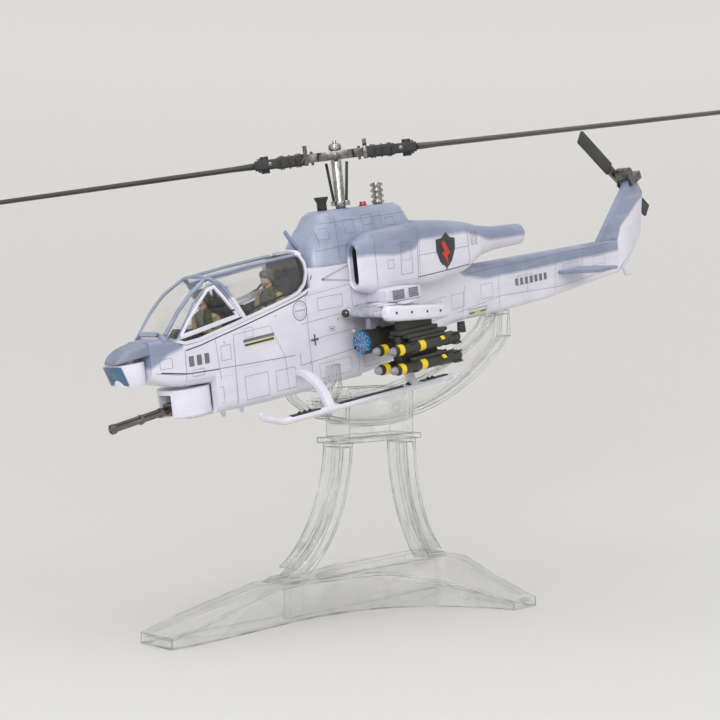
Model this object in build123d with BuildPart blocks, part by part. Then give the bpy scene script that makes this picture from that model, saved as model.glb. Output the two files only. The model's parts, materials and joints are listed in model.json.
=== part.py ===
from build123d import *
import math
import os

os.makedirs("parts", exist_ok=True)

# Attack helicopter scale model (1:48) on a clear stand. Millimetres, +X nose, +Y port, +Z up.
# The origin is on the table, under the middle of the stand's saddle.

# Helicopter frame: origin on the mast axis at skid height, tipped nose down on its stand.
PITCH = 8.35
AIRCRAFT_X = 6.0
AIRCRAFT_Z = 76.0
AIRCRAFT = Location((AIRCRAFT_X, 0, AIRCRAFT_Z), (0, PITCH, 0))

# Stand
BASE_HEIGHT = 13.0
FOOT_END_HEIGHT = 3.5
BASE_WALL = 1.6
PLATE_Z = 57.7
PLATE_THICKNESS = 2.0
SADDLE_LENGTH = 34.0
SADDLE_WIDTH = 11.4
SADDLE_TOP = 77.0
RAIL_RADIUS = 118.0
RAIL_CENTRE_X = -20.8
RAIL_CENTRE_Z = 104.0
RAIL_WIDTH = 7.0
RAIL_GAP = 0.35
KNOB_X = -7.9
KNOB_Z = 69.6

# Fuselage
HALF_WIDTH = 9.75
DECK_Z = 46.0
BOOM_START_X = -44.0
COCKPIT_FLOOR_Z = 15.0
COCKPIT_HALF_WIDTH = 8.2
CANOPY_WALL = 0.8
DOOR_GAP = 0.3
TURRET_X = 79.5
TURRET_RADIUS = 8.2
SENSOR_X = 99.6
SENSOR_RADIUS = 4.8

# Rotors
HUB_Z = 82.3
MAST_RADIUS = 1.8
ROTOR_RADIUS = 152.4
ROTOR_AZIMUTH = -47.0
TEETER = 1.5
DROOP = 0.8
BLADE_CHORD = 16.5
TAIL_ROTOR_X = -185.0
TAIL_ROTOR_Z = 63.7
TAIL_ROTOR_Y = -5.1
TAIL_ROTOR_RADIUS = 31.0
TAIL_ROTOR_ANGLE = 35.6
BEARING = 0.05

# Landing gear and stores
SKID_Y = 22.2
SKID_RADIUS = 1.1
WING_Z = 29.0
WING_TIP_Y = 34.0
POD_Y = 16.5
POD_Z = 19.0
POD_RADIUS = 4.1
LAUNCHER_Y = 29.0
MISSILE_SPACING = 7.0
MISSILE_RADIUS = 1.85


def across(x, y=0.0, z=0.0):
    """Plane square to the fuselage: sketch X to port, sketch Y up, facing the nose."""
    local = Plane(origin=(x, y, z), x_dir=(0, 1, 0), z_dir=(1, 0, 0))
    return Plane(AIRCRAFT * local.location)


def upright(y=0.0, x=0.0, z=0.0):
    """Upright plane along the fuselage: sketch X forward, sketch Y up, facing starboard."""
    local = Plane(origin=(x, y, z), x_dir=(1, 0, 0), z_dir=(0, -1, 0))
    return Plane(AIRCRAFT * local.location)


def level(z=0.0, x=0.0, y=0.0):
    """Plane parallel to the fuselage floor: sketch X forward, sketch Y to port."""
    local = Plane(origin=(x, y, z), x_dir=(1, 0, 0), z_dir=(0, 0, 1))
    return Plane(AIRCRAFT * local.location)


def hull_section(x, bottom, top, half, radius):
    """Fuselage outline with a rounded keel and square shoulders."""
    bend = radius * (1 - math.sqrt(0.5))
    with BuildSketch(across(x)) as outline:
        with BuildLine():
            Line((-half, top), (half, top))
            Line((half, top), (half, bottom + radius))
            ThreePointArc(
                (half, bottom + radius), (half - bend, bottom + bend), (half - radius, bottom)
            )
            Line((half - radius, bottom), (radius - half, bottom))
            ThreePointArc(
                (radius - half, bottom), (bend - half, bottom + bend), (-half, bottom + radius)
            )
            Line((-half, bottom + radius), (-half, top))
        make_face()
    return outline.sketch


def canopy_section(x, sill, top, half, shrink):
    """Arched canopy outline standing on the sill line."""
    rise = top - shrink - sill
    side = half - shrink
    foot = sill - 0.4 - 2 * shrink
    with BuildSketch(across(x)) as outline:
        with BuildLine():
            Polyline((-side, sill), (-side, foot), (side, foot), (side, sill))
            Spline(
                (side, sill),
                (side * 0.95, sill + rise * 0.5),
                (side * 0.68, sill + rise * 0.87),
                (0, sill + rise),
                (-side * 0.68, sill + rise * 0.87),
                (-side * 0.95, sill + rise * 0.5),
                (-side, sill),
            )
        make_face()
    return outline.sketch


CANOPY_STATIONS = (
    (88.5, 31.6, 35.6, 7.6),
    (84.0, 29.0, 40.6, 8.8),
    (78.0, 29.5, 45.6, 9.2),
    (71.0, 30.8, 48.4, 9.4),
    (61.0, 32.6, 49.6, 9.6),
    (50.4, 34.6, 50.6, 9.6),
    (36.0, 37.4, 51.8, 9.5),
    (28.6, 39.6, 52.2, 9.3),
    (27.3, 45.5, 52.3, 9.2),
)


def canopy_loft(shrink):
    """Solid filling the canopy, smaller by the given wall."""
    with BuildPart() as filling:
        for x, sill, top, half in CANOPY_STATIONS:
            add(canopy_section(x, sill, top, half, shrink))
        loft(ruled=True)
    return filling.part


def side_prism(points, start, depth):
    """Block with a side-view outline, from one fore-and-aft plane towards starboard."""
    with BuildPart() as block:
        with BuildSketch(upright(start)):
            with BuildLine():
                Polyline(*points, close=True)
            make_face()
        extrude(amount=depth)
    return block.part


def mirrored(solid):
    """The same piece on the other side of the fuselage."""
    return mirror(solid, about=Plane.XZ)


# ---------------------------------------------------------------- stand


def base_solid(inset):
    """Tripod base block, shrunk by the inset on every face but the bottom."""
    height = BASE_HEIGHT - inset
    end = FOOT_END_HEIGHT - inset
    with BuildPart() as block:
        with BuildSketch(Plane.XY):
            with BuildLine():
                front = Line((98 - inset, inset - 7.5), (98 - inset, 7.5 - inset))
                port_front = Spline(
                    front @ 1,
                    (57, 6.6 - inset),
                    (27, 6.8 - inset),
                    (2.5 - 0.6 * inset, 15 - 0.8 * inset),
                    (-10 - 0.8 * inset, 26.5 - 0.6 * inset),
                    (-17 - inset, 37),
                    (-21 - inset, 48 - inset),
                )
                port_end = Line(port_front @ 1, (inset - 34, 48 - inset))
                rear = Spline(
                    port_end @ 1,
                    (inset - 35, 34),
                    (inset - 38.5, 18),
                    (inset - 42, 0),
                    (inset - 38.5, -18),
                    (inset - 35, -34),
                    (inset - 34, inset - 48),
                )
                starboard_end = Line(rear @ 1, (-21 - inset, inset - 48))
                Spline(
                    starboard_end @ 1,
                    (-17 - inset, -37),
                    (-10 - 0.8 * inset, 0.6 * inset - 26.5),
                    (2.5 - 0.6 * inset, 0.8 * inset - 15),
                    (27, inset - 6.8),
                    (57, inset - 6.6),
                    front @ 0,
                )
            make_face()
        extrude(amount=height)
        with BuildSketch(Plane.XZ):
            Polygon((-60, 0), (110, 0), (110, end - 1), (98, end), (52, height), (-60, height), align=None)
        extrude(amount=60, both=True, mode=Mode.INTERSECT)
        with BuildSketch(Plane.YZ):
            Polygon(
                (-50, 0), (50, 0), (50, end), (47, end), (12, height), (-12, height), (-47, end), (-50, end),
                align=None,
            )
        extrude(amount=120, both=True, mode=Mode.INTERSECT)
    return block.part


with BuildPart() as stand_base:
    add(base_solid(0))
    add(base_solid(BASE_WALL), mode=Mode.SUBTRACT)
    with Locations((3, 0, BASE_HEIGHT / 2)):
        Box(80, 1.6, BASE_HEIGHT, mode=Mode.ADD)
stand_base.part.label = "stand_base"
export_step(stand_base.part, "parts/stand_base.step")


def leg_outline(plane, facing, outer, inner, inset):
    """Curved tapering leg; outer and inner are its edge distances at four heights."""
    heights = (PLATE_Z - inset, 44, 29, BASE_HEIGHT + inset)
    with BuildSketch(plane) as outline:
        with BuildLine():
            outside = Spline(*[(facing * (x - inset), z) for x, z in zip(outer, heights)])
            inside = Spline(*[(facing * (x + inset), z) for x, z in zip(inner, heights)])
            Line(outside @ 0, inside @ 0)
            Line(outside @ 1, inside @ 1)
        make_face()
    return outline.sketch


LEG_WIDTH = 8.4
LEG_POCKET = 3.1
LEG_RIM = 1.5
LEGS = (
    (1, (20, 22, 29, 49), (13.5, 15.5, 21.5, 38)),
    (-1, (20, 21.5, 26, 38), (13.5, 15, 19.5, 28)),
)

with BuildPart() as stand_column:
    for facing, outer, inner in LEGS:
        extrude(leg_outline(Plane.XZ, facing, outer, inner, 0), amount=LEG_WIDTH / 2, both=True)
    for side in (-1, 1):
        pocket_plane = Plane.XZ.offset(side * (LEG_WIDTH / 2 - LEG_POCKET))
        for facing, outer, inner in LEGS:
            pocket = leg_outline(pocket_plane, facing, outer, inner, LEG_RIM)
            extrude(pocket, amount=side * LEG_POCKET, mode=Mode.SUBTRACT)
    with Locations((0, 0, PLATE_Z + PLATE_THICKNESS / 2)):
        Box(43, SADDLE_WIDTH, PLATE_THICKNESS)
stand_column.part.label = "stand_column"
export_step(stand_column.part, "parts/stand_column.step")

SADDLE_FLOOR = PLATE_Z + PLATE_THICKNESS
HINGE = AIRCRAFT * Location((RAIL_CENTRE_X, 0, RAIL_CENTRE_Z))
SLOT_WIDTH = RAIL_WIDTH + 2 * RAIL_GAP

with BuildPart() as stand_saddle:
    with Locations((0, 0, (SADDLE_FLOOR + SADDLE_TOP) / 2)):
        Box(SADDLE_LENGTH, SADDLE_WIDTH, SADDLE_TOP - SADDLE_FLOOR)
    with BuildSketch(Plane.XZ):
        with Locations((HINGE.position.X, HINGE.position.Z)):
            Circle(RAIL_RADIUS + RAIL_GAP)
    extrude(amount=SLOT_WIDTH / 2, both=True, mode=Mode.SUBTRACT)
    with BuildSketch(Plane.XZ.offset(-SADDLE_WIDTH / 2)):
        with Locations((KNOB_X, KNOB_Z)):
            Circle(1.2 + BEARING)
    extrude(amount=SADDLE_WIDTH / 2 - SLOT_WIDTH / 2 + 0.5, mode=Mode.SUBTRACT)
    fillet(stand_saddle.edges().filter_by(Axis.Y).group_by(Axis.Z)[-1], radius=1.5)
stand_saddle.part.label = "stand_saddle"
export_step(stand_saddle.part, "parts/stand_saddle.step")

# Clamp screw with a round head on the port cheek; its tip stops short of the rail.
with BuildPart() as clamp_knob:
    with BuildSketch(Plane.XZ.offset(-SLOT_WIDTH / 2 - 0.05)):
        with Locations((KNOB_X, KNOB_Z)):
            Circle(1.2)
    extrude(amount=-(SADDLE_WIDTH - SLOT_WIDTH) / 2 - 0.35)
    with BuildSketch(Plane.XZ.offset(-SADDLE_WIDTH / 2 - 0.3)):
        with Locations((KNOB_X, KNOB_Z)):
            RegularPolygon(2.5, 8)
    extrude(amount=-1.8)
clamp_knob.part.label = "clamp_knob"
export_step(clamp_knob.part, "parts/clamp_knob.step")


def rail_point(angle, radius=RAIL_RADIUS):
    """Point on the rail's arc, the angle counted forward from straight below its centre."""
    turn = math.radians(angle)
    return (RAIL_CENTRE_X + radius * math.sin(turn), RAIL_CENTRE_Z - radius * math.cos(turn))


RAIL_FRONT = 20.4
RAIL_REAR = -34.0


def cradle_outline(side, inset):
    """Boat-shaped side view of the curved rail, drawn smaller by the inset."""
    rim = RAIL_RADIUS - inset
    back = rail_point(RAIL_REAR + inset * 0.7, rim)
    bow = rail_point(RAIL_FRONT - inset * 0.5, rim)
    with BuildSketch(upright(side)) as outline:
        with BuildLine():
            ThreePointArc(back, rail_point(-7, rim), bow)
            Line(bow, (20.6 - inset, 0.5 - inset))
            Spline(
                (20.6 - inset, 0.5 - inset),
                (0, -1.6 - inset),
                (-30, -0.5 - inset),
                (-58, 5.5 - inset),
                (-74, 12.5 - inset),
            )
            Polyline((-74, 12.5 - inset), (-78, 16.5 - inset), (-87.5 + inset, 16.5 - inset), back)
        make_face()
    return outline.sketch


RAIL_WEB = 1.4
with BuildPart() as arc_rail:
    extrude(cradle_outline(0, 0), amount=RAIL_WIDTH / 2, both=True)
    for side in (-1, 1):
        hollow = cradle_outline(side * RAIL_WEB / 2, 1.5)
        extrude(hollow, amount=-side * RAIL_WIDTH, mode=Mode.SUBTRACT)
arc_rail.part.label = "arc_rail"
export_step(arc_rail.part, "parts/arc_rail.step")

# Cup in front of the rail that holds the belly between two cheeks.
YOKE_X = 23.6
YOKE_LENGTH = 5.0
with BuildPart() as front_yoke:
    with BuildSketch(across(YOKE_X - YOKE_LENGTH / 2)):
        Polygon(
            (-12.4, 13), (-12.4, 5), (-9.6, 0.4), (-3.5, -3.2),
            (3.5, -3.2), (9.6, 0.4), (12.4, 5), (12.4, 13),
            align=None,
        )
        Polygon(
            (-10.2, 14), (-10.2, 7.6), (-7.4, 4.2), (7.4, 4.2), (10.2, 7.6), (10.2, 14),
            align=None,
            mode=Mode.SUBTRACT,
        )
    extrude(amount=YOKE_LENGTH)
front_yoke.part.label = "front_yoke"
export_step(front_yoke.part, "parts/front_yoke.step")

# ---------------------------------------------------------------- fuselage

NOSE_STATIONS = (
    (95.2, 19.4, 31.6, 5.4, 2.0),
    (88.5, 17.0, 31.6, 7.6, 2.6),
    (84.0, 16.2, 29.0, 8.8, 3.0),
    (78.0, 15.8, 29.5, 9.2, 3.2),
    (73.8, 15.6, 30.29, 9.32, 3.2),
)
BODY_STATIONS = (
    (73.8, 5.9, 30.29, 9.32, 3.6),
    (71.0, 5.8, 30.8, 9.4, 3.6),
    (61.0, 5.4, 32.6, 9.6, 3.6),
    (50.4, 5.3, 34.6, 9.6, 3.6),
    (36.0, 5.4, 37.4, 9.5, 3.6),
    (28.6, 5.6, 39.6, 9.5, 3.6),
    (27.0, 5.6, DECK_Z, 9.5, 3.6),
    (0.0, 7.0, DECK_Z, 9.5, 3.8),
    (-20.0, 10.0, DECK_Z, 9.0, 4.0),
    (BOOM_START_X, 15.6, 44.0, 7.4, 4.0),
)
BOOM_STATIONS = (
    (BOOM_START_X, 15.6, 44.0, 7.4, 4.0),
    (-58.0, 16.5, 39.0, 5.6, 3.2),
    (-74.0, 16.5, 36.6, 4.9, 2.8),
    (-109.0, 17.0, 36.5, 4.0, 2.4),
    (-130.0, 18.4, 36.5, 3.4, 2.2),
    (-154.0, 20.2, 36.5, 2.8, 1.8),
    (-172.0, 21.6, 36.0, 2.0, 1.4),
)


def hull_loft(stations):
    """Straight-sided loft through a run of fuselage sections."""
    with BuildPart() as hull:
        for x, bottom, top, half, radius in stations:
            add(hull_section(x, bottom, top, half, radius))
        loft(ruled=True)
    return hull.part


def turret_well(radius, low, high, x):
    """Upright cylinder in the aircraft frame."""
    with BuildPart() as well:
        with BuildSketch(level(low, x)):
            Circle(radius)
        extrude(amount=high - low)
    return well.part


with BuildPart() as fuselage:
    add(hull_loft(NOSE_STATIONS))
    add(hull_loft(BODY_STATIONS))
    add(turret_well(TURRET_RADIUS + 0.5, 0, 15.9, TURRET_X), mode=Mode.SUBTRACT)
    add(turret_well(3.0 + BEARING, 12, 17.5, TURRET_X), mode=Mode.SUBTRACT)
    add(turret_well(SENSOR_RADIUS + 0.5, 10, 40, SENSOR_X), mode=Mode.SUBTRACT)
    cockpit = (
        (82.8, 50), (82.8, 24), (78, 20), (34, COCKPIT_FLOOR_Z + 4), (31, 22), (31, 50),
    )
    with BuildSketch(upright(-COCKPIT_HALF_WIDTH)):
        Polygon(*cockpit, align=None)
    extrude(amount=-2 * COCKPIT_HALF_WIDTH, mode=Mode.SUBTRACT)
fuselage.part.label = "fuselage"
export_step(fuselage.part, "parts/fuselage.step")

with BuildPart() as tail_boom:
    add(hull_loft(BOOM_STATIONS))
tail_boom.part.label = "tail_boom"
export_step(tail_boom.part, "parts/tail_boom.step")


def plate(points, thickness, middle):
    """Upright plate with a side-view outline, centred on one fore-and-aft plane."""
    return side_prism(points, middle + thickness / 2, thickness)


with BuildPart() as tail_fin:
    add(
        plate(
            (
                (-157.5, 35.0), (-185.7, 61.1), (-191.3, 61.6), (-196.6, 55.0),
                (-192.6, 36.0), (-187.2, 31.7), (-180.5, 24.1), (-171.0, 21.4),
            ),
            2.4,
            0,
        )
    )
    add(tail_boom.part, mode=Mode.SUBTRACT)
tail_fin.part.label = "tail_fin"
export_step(tail_fin.part, "parts/tail_fin.step")

with BuildPart() as tail_skid:
    with BuildSketch(upright(0.6)):
        with BuildLine():
            Polyline((-178.0, 23.2), (-180.4, 19.6), (-184.6, 19.4))
        trace(line_width=1.2)
    extrude(amount=1.2)
    add(tail_fin.part, mode=Mode.SUBTRACT)
tail_skid.part.label = "tail_skid"
export_step(tail_skid.part, "parts/tail_skid.step")

with BuildPart() as half_tailplane:
    with BuildSketch(level(26.3)):
        Polygon((-122.5, 2.5), (-125.0, 22.0), (-139.0, 22.0), (-141.0, 2.5), align=None)
    extrude(amount=1.5)
    add(tail_boom.part, mode=Mode.SUBTRACT)

with BuildPart() as tailplane:
    add(half_tailplane.part)
    add(mirrored(half_tailplane.part))
tailplane.part.label = "tailplane"
export_step(tailplane.part, "parts/tailplane.step")

# Transmission fairing on the deck: height, front, back, half width, corner radius.
FAIRING_STATIONS = (
    (DECK_Z, 25.0, -34.0, 9.3, 4.0),
    (52.3, 23.6, -32.0, 8.4, 5.0),
    (59.5, 18.6, -28.8, 6.8, 5.0),
    (62.6, 16.4, -27.2, 5.8, 4.6),
    (63.9, 14.0, -25.6, 4.2, 3.6),
)
with BuildPart() as pylon_fairing:
    for height, front, back, half, corner in FAIRING_STATIONS:
        with BuildSketch(level(height, (front + back) / 2)):
            RectangleRounded(front - back, 2 * half, corner)
    loft(ruled=True)
    add(turret_well(MAST_RADIUS + BEARING, 54.0, 64.5, 0), mode=Mode.SUBTRACT)
pylon_fairing.part.label = "pylon_fairing"
export_step(pylon_fairing.part, "parts/pylon_fairing.step")

# Middle cowl behind the transmission: station, bottom, top, half width, corner radius.
SPINE_STATIONS = (
    (-29.0, 42.0, 57.0, 8.6, 3.5),
    (-50.0, 41.0, 55.0, 6.0, 3.5),
    (-66.0, 40.5, 52.2, 3.6, 2.6),
    (-74.0, 41.5, 51.0, 2.6, 2.0),
)
with BuildPart() as engine_spine:
    for x, bottom, top, half, corner in SPINE_STATIONS:
        with BuildSketch(across(x, 0, (bottom + top) / 2)):
            RectangleRounded(2 * half, top - bottom, corner)
    loft(ruled=True)
    add(fuselage.part, mode=Mode.SUBTRACT)
    add(tail_boom.part, mode=Mode.SUBTRACT)
    add(pylon_fairing.part, mode=Mode.SUBTRACT)
engine_spine.part.label = "engine_spine"
export_step(engine_spine.part, "parts/engine_spine.step")

# Engine pod on the port side: station, inner edge, outer edge, bottom, top, corner radius.
NACELLE_STATIONS = (
    (7.0, 8.2, 15.2, 35.4, 53.4, 3.4),
    (1.0, 7.6, 16.0, 34.0, 55.4, 3.8),
    (-28.0, 7.0, 16.2, 33.8, 56.5, 4.4),
    (-48.0, 5.0, 15.4, 35.5, 54.8, 4.8),
    (-60.0, 3.4, 13.4, 39.0, 52.6, 4.6),
)
INTAKE_LIP = 2.4


def pod_section(x, inner, outer, bottom, top, corner, shrink):
    """Rounded upright section of an engine pod."""
    with BuildSketch(across(x, (inner + outer) / 2, (bottom + top) / 2)) as outline:
        RectangleRounded(outer - inner - 2 * shrink, top - bottom - 2 * shrink, corner - shrink)
    return outline.sketch


with BuildPart() as nacelle_port:
    for station in NACELLE_STATIONS:
        add(pod_section(*station, 0))
    loft(ruled=True)
    extrude(pod_section(*NACELLE_STATIONS[0], 1.3), amount=-5, mode=Mode.SUBTRACT)
    for blocker in (fuselage, pylon_fairing, engine_spine, tail_boom):
        add(blocker.part, mode=Mode.SUBTRACT)
nacelle_port.part.label = "nacelle_port"
export_step(nacelle_port.part, "parts/nacelle_port.step")

with BuildPart() as half_intake:
    extrude(pod_section(*NACELLE_STATIONS[0], 0.25), amount=INTAKE_LIP)
    fillet(half_intake.faces().sort_by(Axis.X)[-1].edges(), radius=0.7)
    extrude(pod_section(*NACELLE_STATIONS[0], 1.3), amount=INTAKE_LIP, mode=Mode.SUBTRACT)
    for blocker in (fuselage, pylon_fairing):
        add(blocker.part, mode=Mode.SUBTRACT)

EXHAUST_Y = 8.2
EXHAUST_Z = 46.0
with BuildPart() as half_exhaust:
    with BuildSketch(across(-60.0, EXHAUST_Y, EXHAUST_Z)):
        RectangleRounded(9.6, 11.6, 4.2)
    with BuildSketch(across(-76.0, EXHAUST_Y, EXHAUST_Z)):
        RectangleRounded(8.8, 8.8, 4.2)
    with BuildSketch(across(-90.0, EXHAUST_Y, EXHAUST_Z)):
        RectangleRounded(8.0, 8.0, 3.9)
    loft(ruled=True)
    with BuildSketch(across(-90.0, EXHAUST_Y, EXHAUST_Z)):
        Circle(3.3)
    extrude(amount=16, mode=Mode.SUBTRACT)
    for blocker in (engine_spine, tail_boom, nacelle_port):
        add(blocker.part, mode=Mode.SUBTRACT)

with BuildPart() as nacelle_starboard:
    add(mirrored(nacelle_port.part))
nacelle_starboard.part.label = "nacelle_starboard"
export_step(nacelle_starboard.part, "parts/nacelle_starboard.step")

with BuildPart() as engine_intakes:
    add(half_intake.part)
    add(mirrored(half_intake.part))
engine_intakes.part.label = "engine_intakes"
export_step(engine_intakes.part, "parts/engine_intakes.step")

with BuildPart() as exhausts:
    add(half_exhaust.part)
    add(mirrored(half_exhaust.part))
exhausts.part.label = "exhausts"
export_step(exhausts.part, "parts/exhausts.step")

# Small fittings on the transmission fairing, each a stack of radius, bottom, top.


def stacked(x, rings):
    """Round fitting built from stacked discs on the aircraft's top."""
    with BuildPart() as fitting:
        for radius, low, high in rings:
            with BuildSketch(level(low, x)):
                Circle(radius)
            extrude(amount=high - low)
    return fitting.part


with BuildPart() as air_scoop:
    add(stacked(9.4, ((1.7, 63.9, 66.8), (2.0, 66.8, 67.6), (2.4, 67.6, 68.6))))
air_scoop.part.label = "air_scoop"
export_step(air_scoop.part, "parts/air_scoop.step")

with BuildPart() as beacon:
    add(stacked(-11.5, ((1.5, 63.9, 64.4), (1.2, 64.4, 65.5))))
beacon.part.label = "beacon"
export_step(beacon.part, "parts/beacon.step")

with BuildPart() as infrared_jammer:
    rings = [(1.7, 63.9, 71.6)]
    for step in range(4):
        rings.append((2.3, 64.3 + 2.0 * step, 65.3 + 2.0 * step))
    add(stacked(-19.6, rings))
infrared_jammer.part.label = "infrared_jammer"
export_step(infrared_jammer.part, "parts/infrared_jammer.step")

# ---------------------------------------------------------------- canopy and cockpit

DOOR_HINGE_Y = 6.8
GUNNER_DOOR = ((85.6, 31.6), (82.0, 36.0), (77.4, 40.6), (71.8, 44.8), (68.6, 45.4), (61.6, 35.0))
PILOT_DOOR = ((58.8, 36.0), (64.6, 46.0), (31.9, 48.6), (31.9, 39.8))


def side_window(points, inset, side):
    """Prism over one side of the canopy, its side-view outline shrunk by the inset."""
    with BuildPart() as block:
        with BuildSketch(upright(side * 2.0)):
            Polygon(*points, align=None)
            offset(amount=-inset, kind=Kind.INTERSECTION, mode=Mode.REPLACE)
        extrude(amount=-side * 12)
    return block.part


def canopy_frames():
    """Hoops, sill strips and the front bow of the canopy as solid blocks."""
    with BuildPart() as blocks:
        for outline in (
            ((90, 20), (90, 38), (87.6, 38), (87.0, 30), (87.0, 20)),
            (
                (89.0, 33.6), (84.0, 39.7), (78.4, 44.2), (70.9, 48.4),
                (70.6, 47.0), (77.8, 43.0), (83.4, 38.5), (88.4, 32.6),
            ),
            ((71.2, 46.9), (71.2, 52), (69.0, 52), (69.0, 46.9)),
            ((59.9, 30), (58.5, 30), (68.9, 49), (70.9, 49)),
            ((69.2, 47.5), (69.2, 48.3), (50, 50.1), (31, 51.2), (31, 50.5), (50, 49.5)),
            ((31.2, 26), (31.2, 56), (26, 56), (26, 26)),
            ((92, 29.6), (84, 28), (60, 31.6), (28, 37.0), (28, 39.0), (60, 34.0), (81, 30.6)),
        ):
            add(plate(outline, 24, 0))
    return blocks.part


with BuildPart() as canopy_shell:
    add(canopy_loft(0))
    add(canopy_loft(CANOPY_WALL), mode=Mode.SUBTRACT)

with BuildPart() as canopy_frame:
    add(canopy_shell.part)
    add(canopy_frames(), mode=Mode.INTERSECT)
    add(side_window(GUNNER_DOOR, -DOOR_GAP, 1), mode=Mode.SUBTRACT)
    add(side_window(PILOT_DOOR, -DOOR_GAP, -1), mode=Mode.SUBTRACT)
    add(fuselage.part, mode=Mode.SUBTRACT)
    add(pylon_fairing.part, mode=Mode.SUBTRACT)
canopy_frame.part.label = "canopy_frame"
export_step(canopy_frame.part, "parts/canopy_frame.step")

with BuildPart() as canopy_glass:
    add(canopy_shell.part)
    add(canopy_frames(), mode=Mode.SUBTRACT)
    add(side_window(GUNNER_DOOR, -DOOR_GAP, 1), mode=Mode.SUBTRACT)
    add(side_window(PILOT_DOOR, -DOOR_GAP, -1), mode=Mode.SUBTRACT)
    add(fuselage.part, mode=Mode.SUBTRACT)
    add(pylon_fairing.part, mode=Mode.SUBTRACT)
canopy_glass.part.label = "canopy_glass"
export_step(canopy_glass.part, "parts/canopy_glass.step")

with BuildPart() as gunner_door:
    add(canopy_shell.part)
    add(side_window(GUNNER_DOOR, 0, 1), mode=Mode.INTERSECT)
    add(side_window(GUNNER_DOOR, 1.1, 1), mode=Mode.SUBTRACT)
gunner_door.part.label = "gunner_door"
export_step(gunner_door.part, "parts/gunner_door.step")

with BuildPart() as gunner_door_glass:
    add(canopy_shell.part)
    add(side_window(GUNNER_DOOR, 1.1, 1), mode=Mode.INTERSECT)
gunner_door_glass.part.label = "gunner_door_glass"
export_step(gunner_door_glass.part, "parts/gunner_door_glass.step")

with BuildPart() as pilot_door:
    add(canopy_shell.part)
    add(side_window(PILOT_DOOR, 0, -1), mode=Mode.INTERSECT)
    add(side_window(PILOT_DOOR, 1.1, -1), mode=Mode.SUBTRACT)
pilot_door.part.label = "pilot_door"
export_step(pilot_door.part, "parts/pilot_door.step")

with BuildPart() as pilot_door_glass:
    add(canopy_shell.part)
    add(side_window(PILOT_DOOR, 1.1, -1), mode=Mode.INTERSECT)
pilot_door_glass.part.label = "pilot_door_glass"
export_step(pilot_door_glass.part, "parts/pilot_door_glass.step")


def seat(x, pan):
    """Armoured seat: pan, back and head cushion on a pedestal down to the floor."""
    with BuildPart() as chair:
        add(plate(((x, 20.5), (x, pan), (x + 9, pan), (x + 9, 20.5)), 7.5, 0))
        add(plate(((x - 1.6, 20.5), (x - 3.6, pan + 17), (x - 1.8, pan + 17), (x, 20.5)), 8.5, 0))
    return chair.part


def crew(x, pan, lean):
    """Seated figure: torso, helmet, arms and legs in plain rounded shapes."""
    with BuildPart() as figure:
        with BuildSketch(level(pan, x + 3.2)):
            RectangleRounded(4.6, 7.0, 2.0)
        with BuildSketch(level(pan + 7.5, x + 2.6 + 0.6 * lean)):
            RectangleRounded(5.2, 8.6, 2.2)
        with BuildSketch(level(pan + 11.5, x + 2.2 + lean)):
            RectangleRounded(3.0, 4.6, 1.4)
        loft()
        with BuildSketch(level(pan + 11.0, x + 2.4 + lean)):
            Circle(1.5)
        extrude(amount=2.0)
        with Locations(AIRCRAFT * Location((x + 2.6 + lean, 0, pan + 15.2))):
            Sphere(2.9)
        for side in (-1, 1):
            thigh = ((x + 2, pan), (x + 2, pan + 2.6), (x + 12, pan + 3.2), (x + 12, pan + 0.6))
            shin = ((x + 10, pan + 1), (x + 12, pan + 1), (x + 13.4, 21.6), (x + 11.4, 21.6))
            sleeve = ((x + 1.6, pan + 10), (x + 3.8, pan + 10), (x + 5.4, pan + 4.4), (x + 3.2, pan + 4.4))
            forearm = ((x + 3.2, pan + 6), (x + 3.2, pan + 4.2), (x + 10, pan + 5.4), (x + 10, pan + 7))
            add(plate(thigh, 2.6, side * 2.1))
            add(plate(shin, 2.2, side * 2.1))
            add(plate(sleeve, 2.0, side * 4.2))
            add(plate(forearm, 1.8, side * 3.9))
    return figure.part


# Each seat's station and pan height; the gunner leans forward in the front one.
SEATS = {"front": (62.4, 25.8), "rear": (35.8, 28.9)}
GUNNER_LEAN = 2.4

with BuildPart() as seat_front:
    add(seat(*SEATS["front"]))
seat_front.part.label = "seat_front"
export_step(seat_front.part, "parts/seat_front.step")

with BuildPart() as seat_rear:
    add(seat(*SEATS["rear"]))
seat_rear.part.label = "seat_rear"
export_step(seat_rear.part, "parts/seat_rear.step")

with BuildPart() as gunner_figure:
    add(crew(*SEATS["front"], GUNNER_LEAN))
    add(seat_front.part, mode=Mode.SUBTRACT)
gunner_figure.part.label = "gunner_figure"
export_step(gunner_figure.part, "parts/gunner_figure.step")

with BuildPart() as pilot_figure:
    add(crew(*SEATS["rear"], 0))
    add(seat_rear.part, mode=Mode.SUBTRACT)
pilot_figure.part.label = "pilot_figure"
export_step(pilot_figure.part, "parts/pilot_figure.step")

with BuildPart() as instrument_panels:
    add(plate(((76.5, 21.4), (74.5, 31.5), (77.0, 33.0), (80.2, 29.6), (80.2, 22.6)), 10, 0))
    add(plate(((51.8, 36.6), (54.6, 37.6), (54.6, 20.8), (53.0, 20.8)), 12, 0))
instrument_panels.part.label = "instrument_panels"
export_step(instrument_panels.part, "parts/instrument_panels.step")

# ---------------------------------------------------------------- nose sensor and gun

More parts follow.
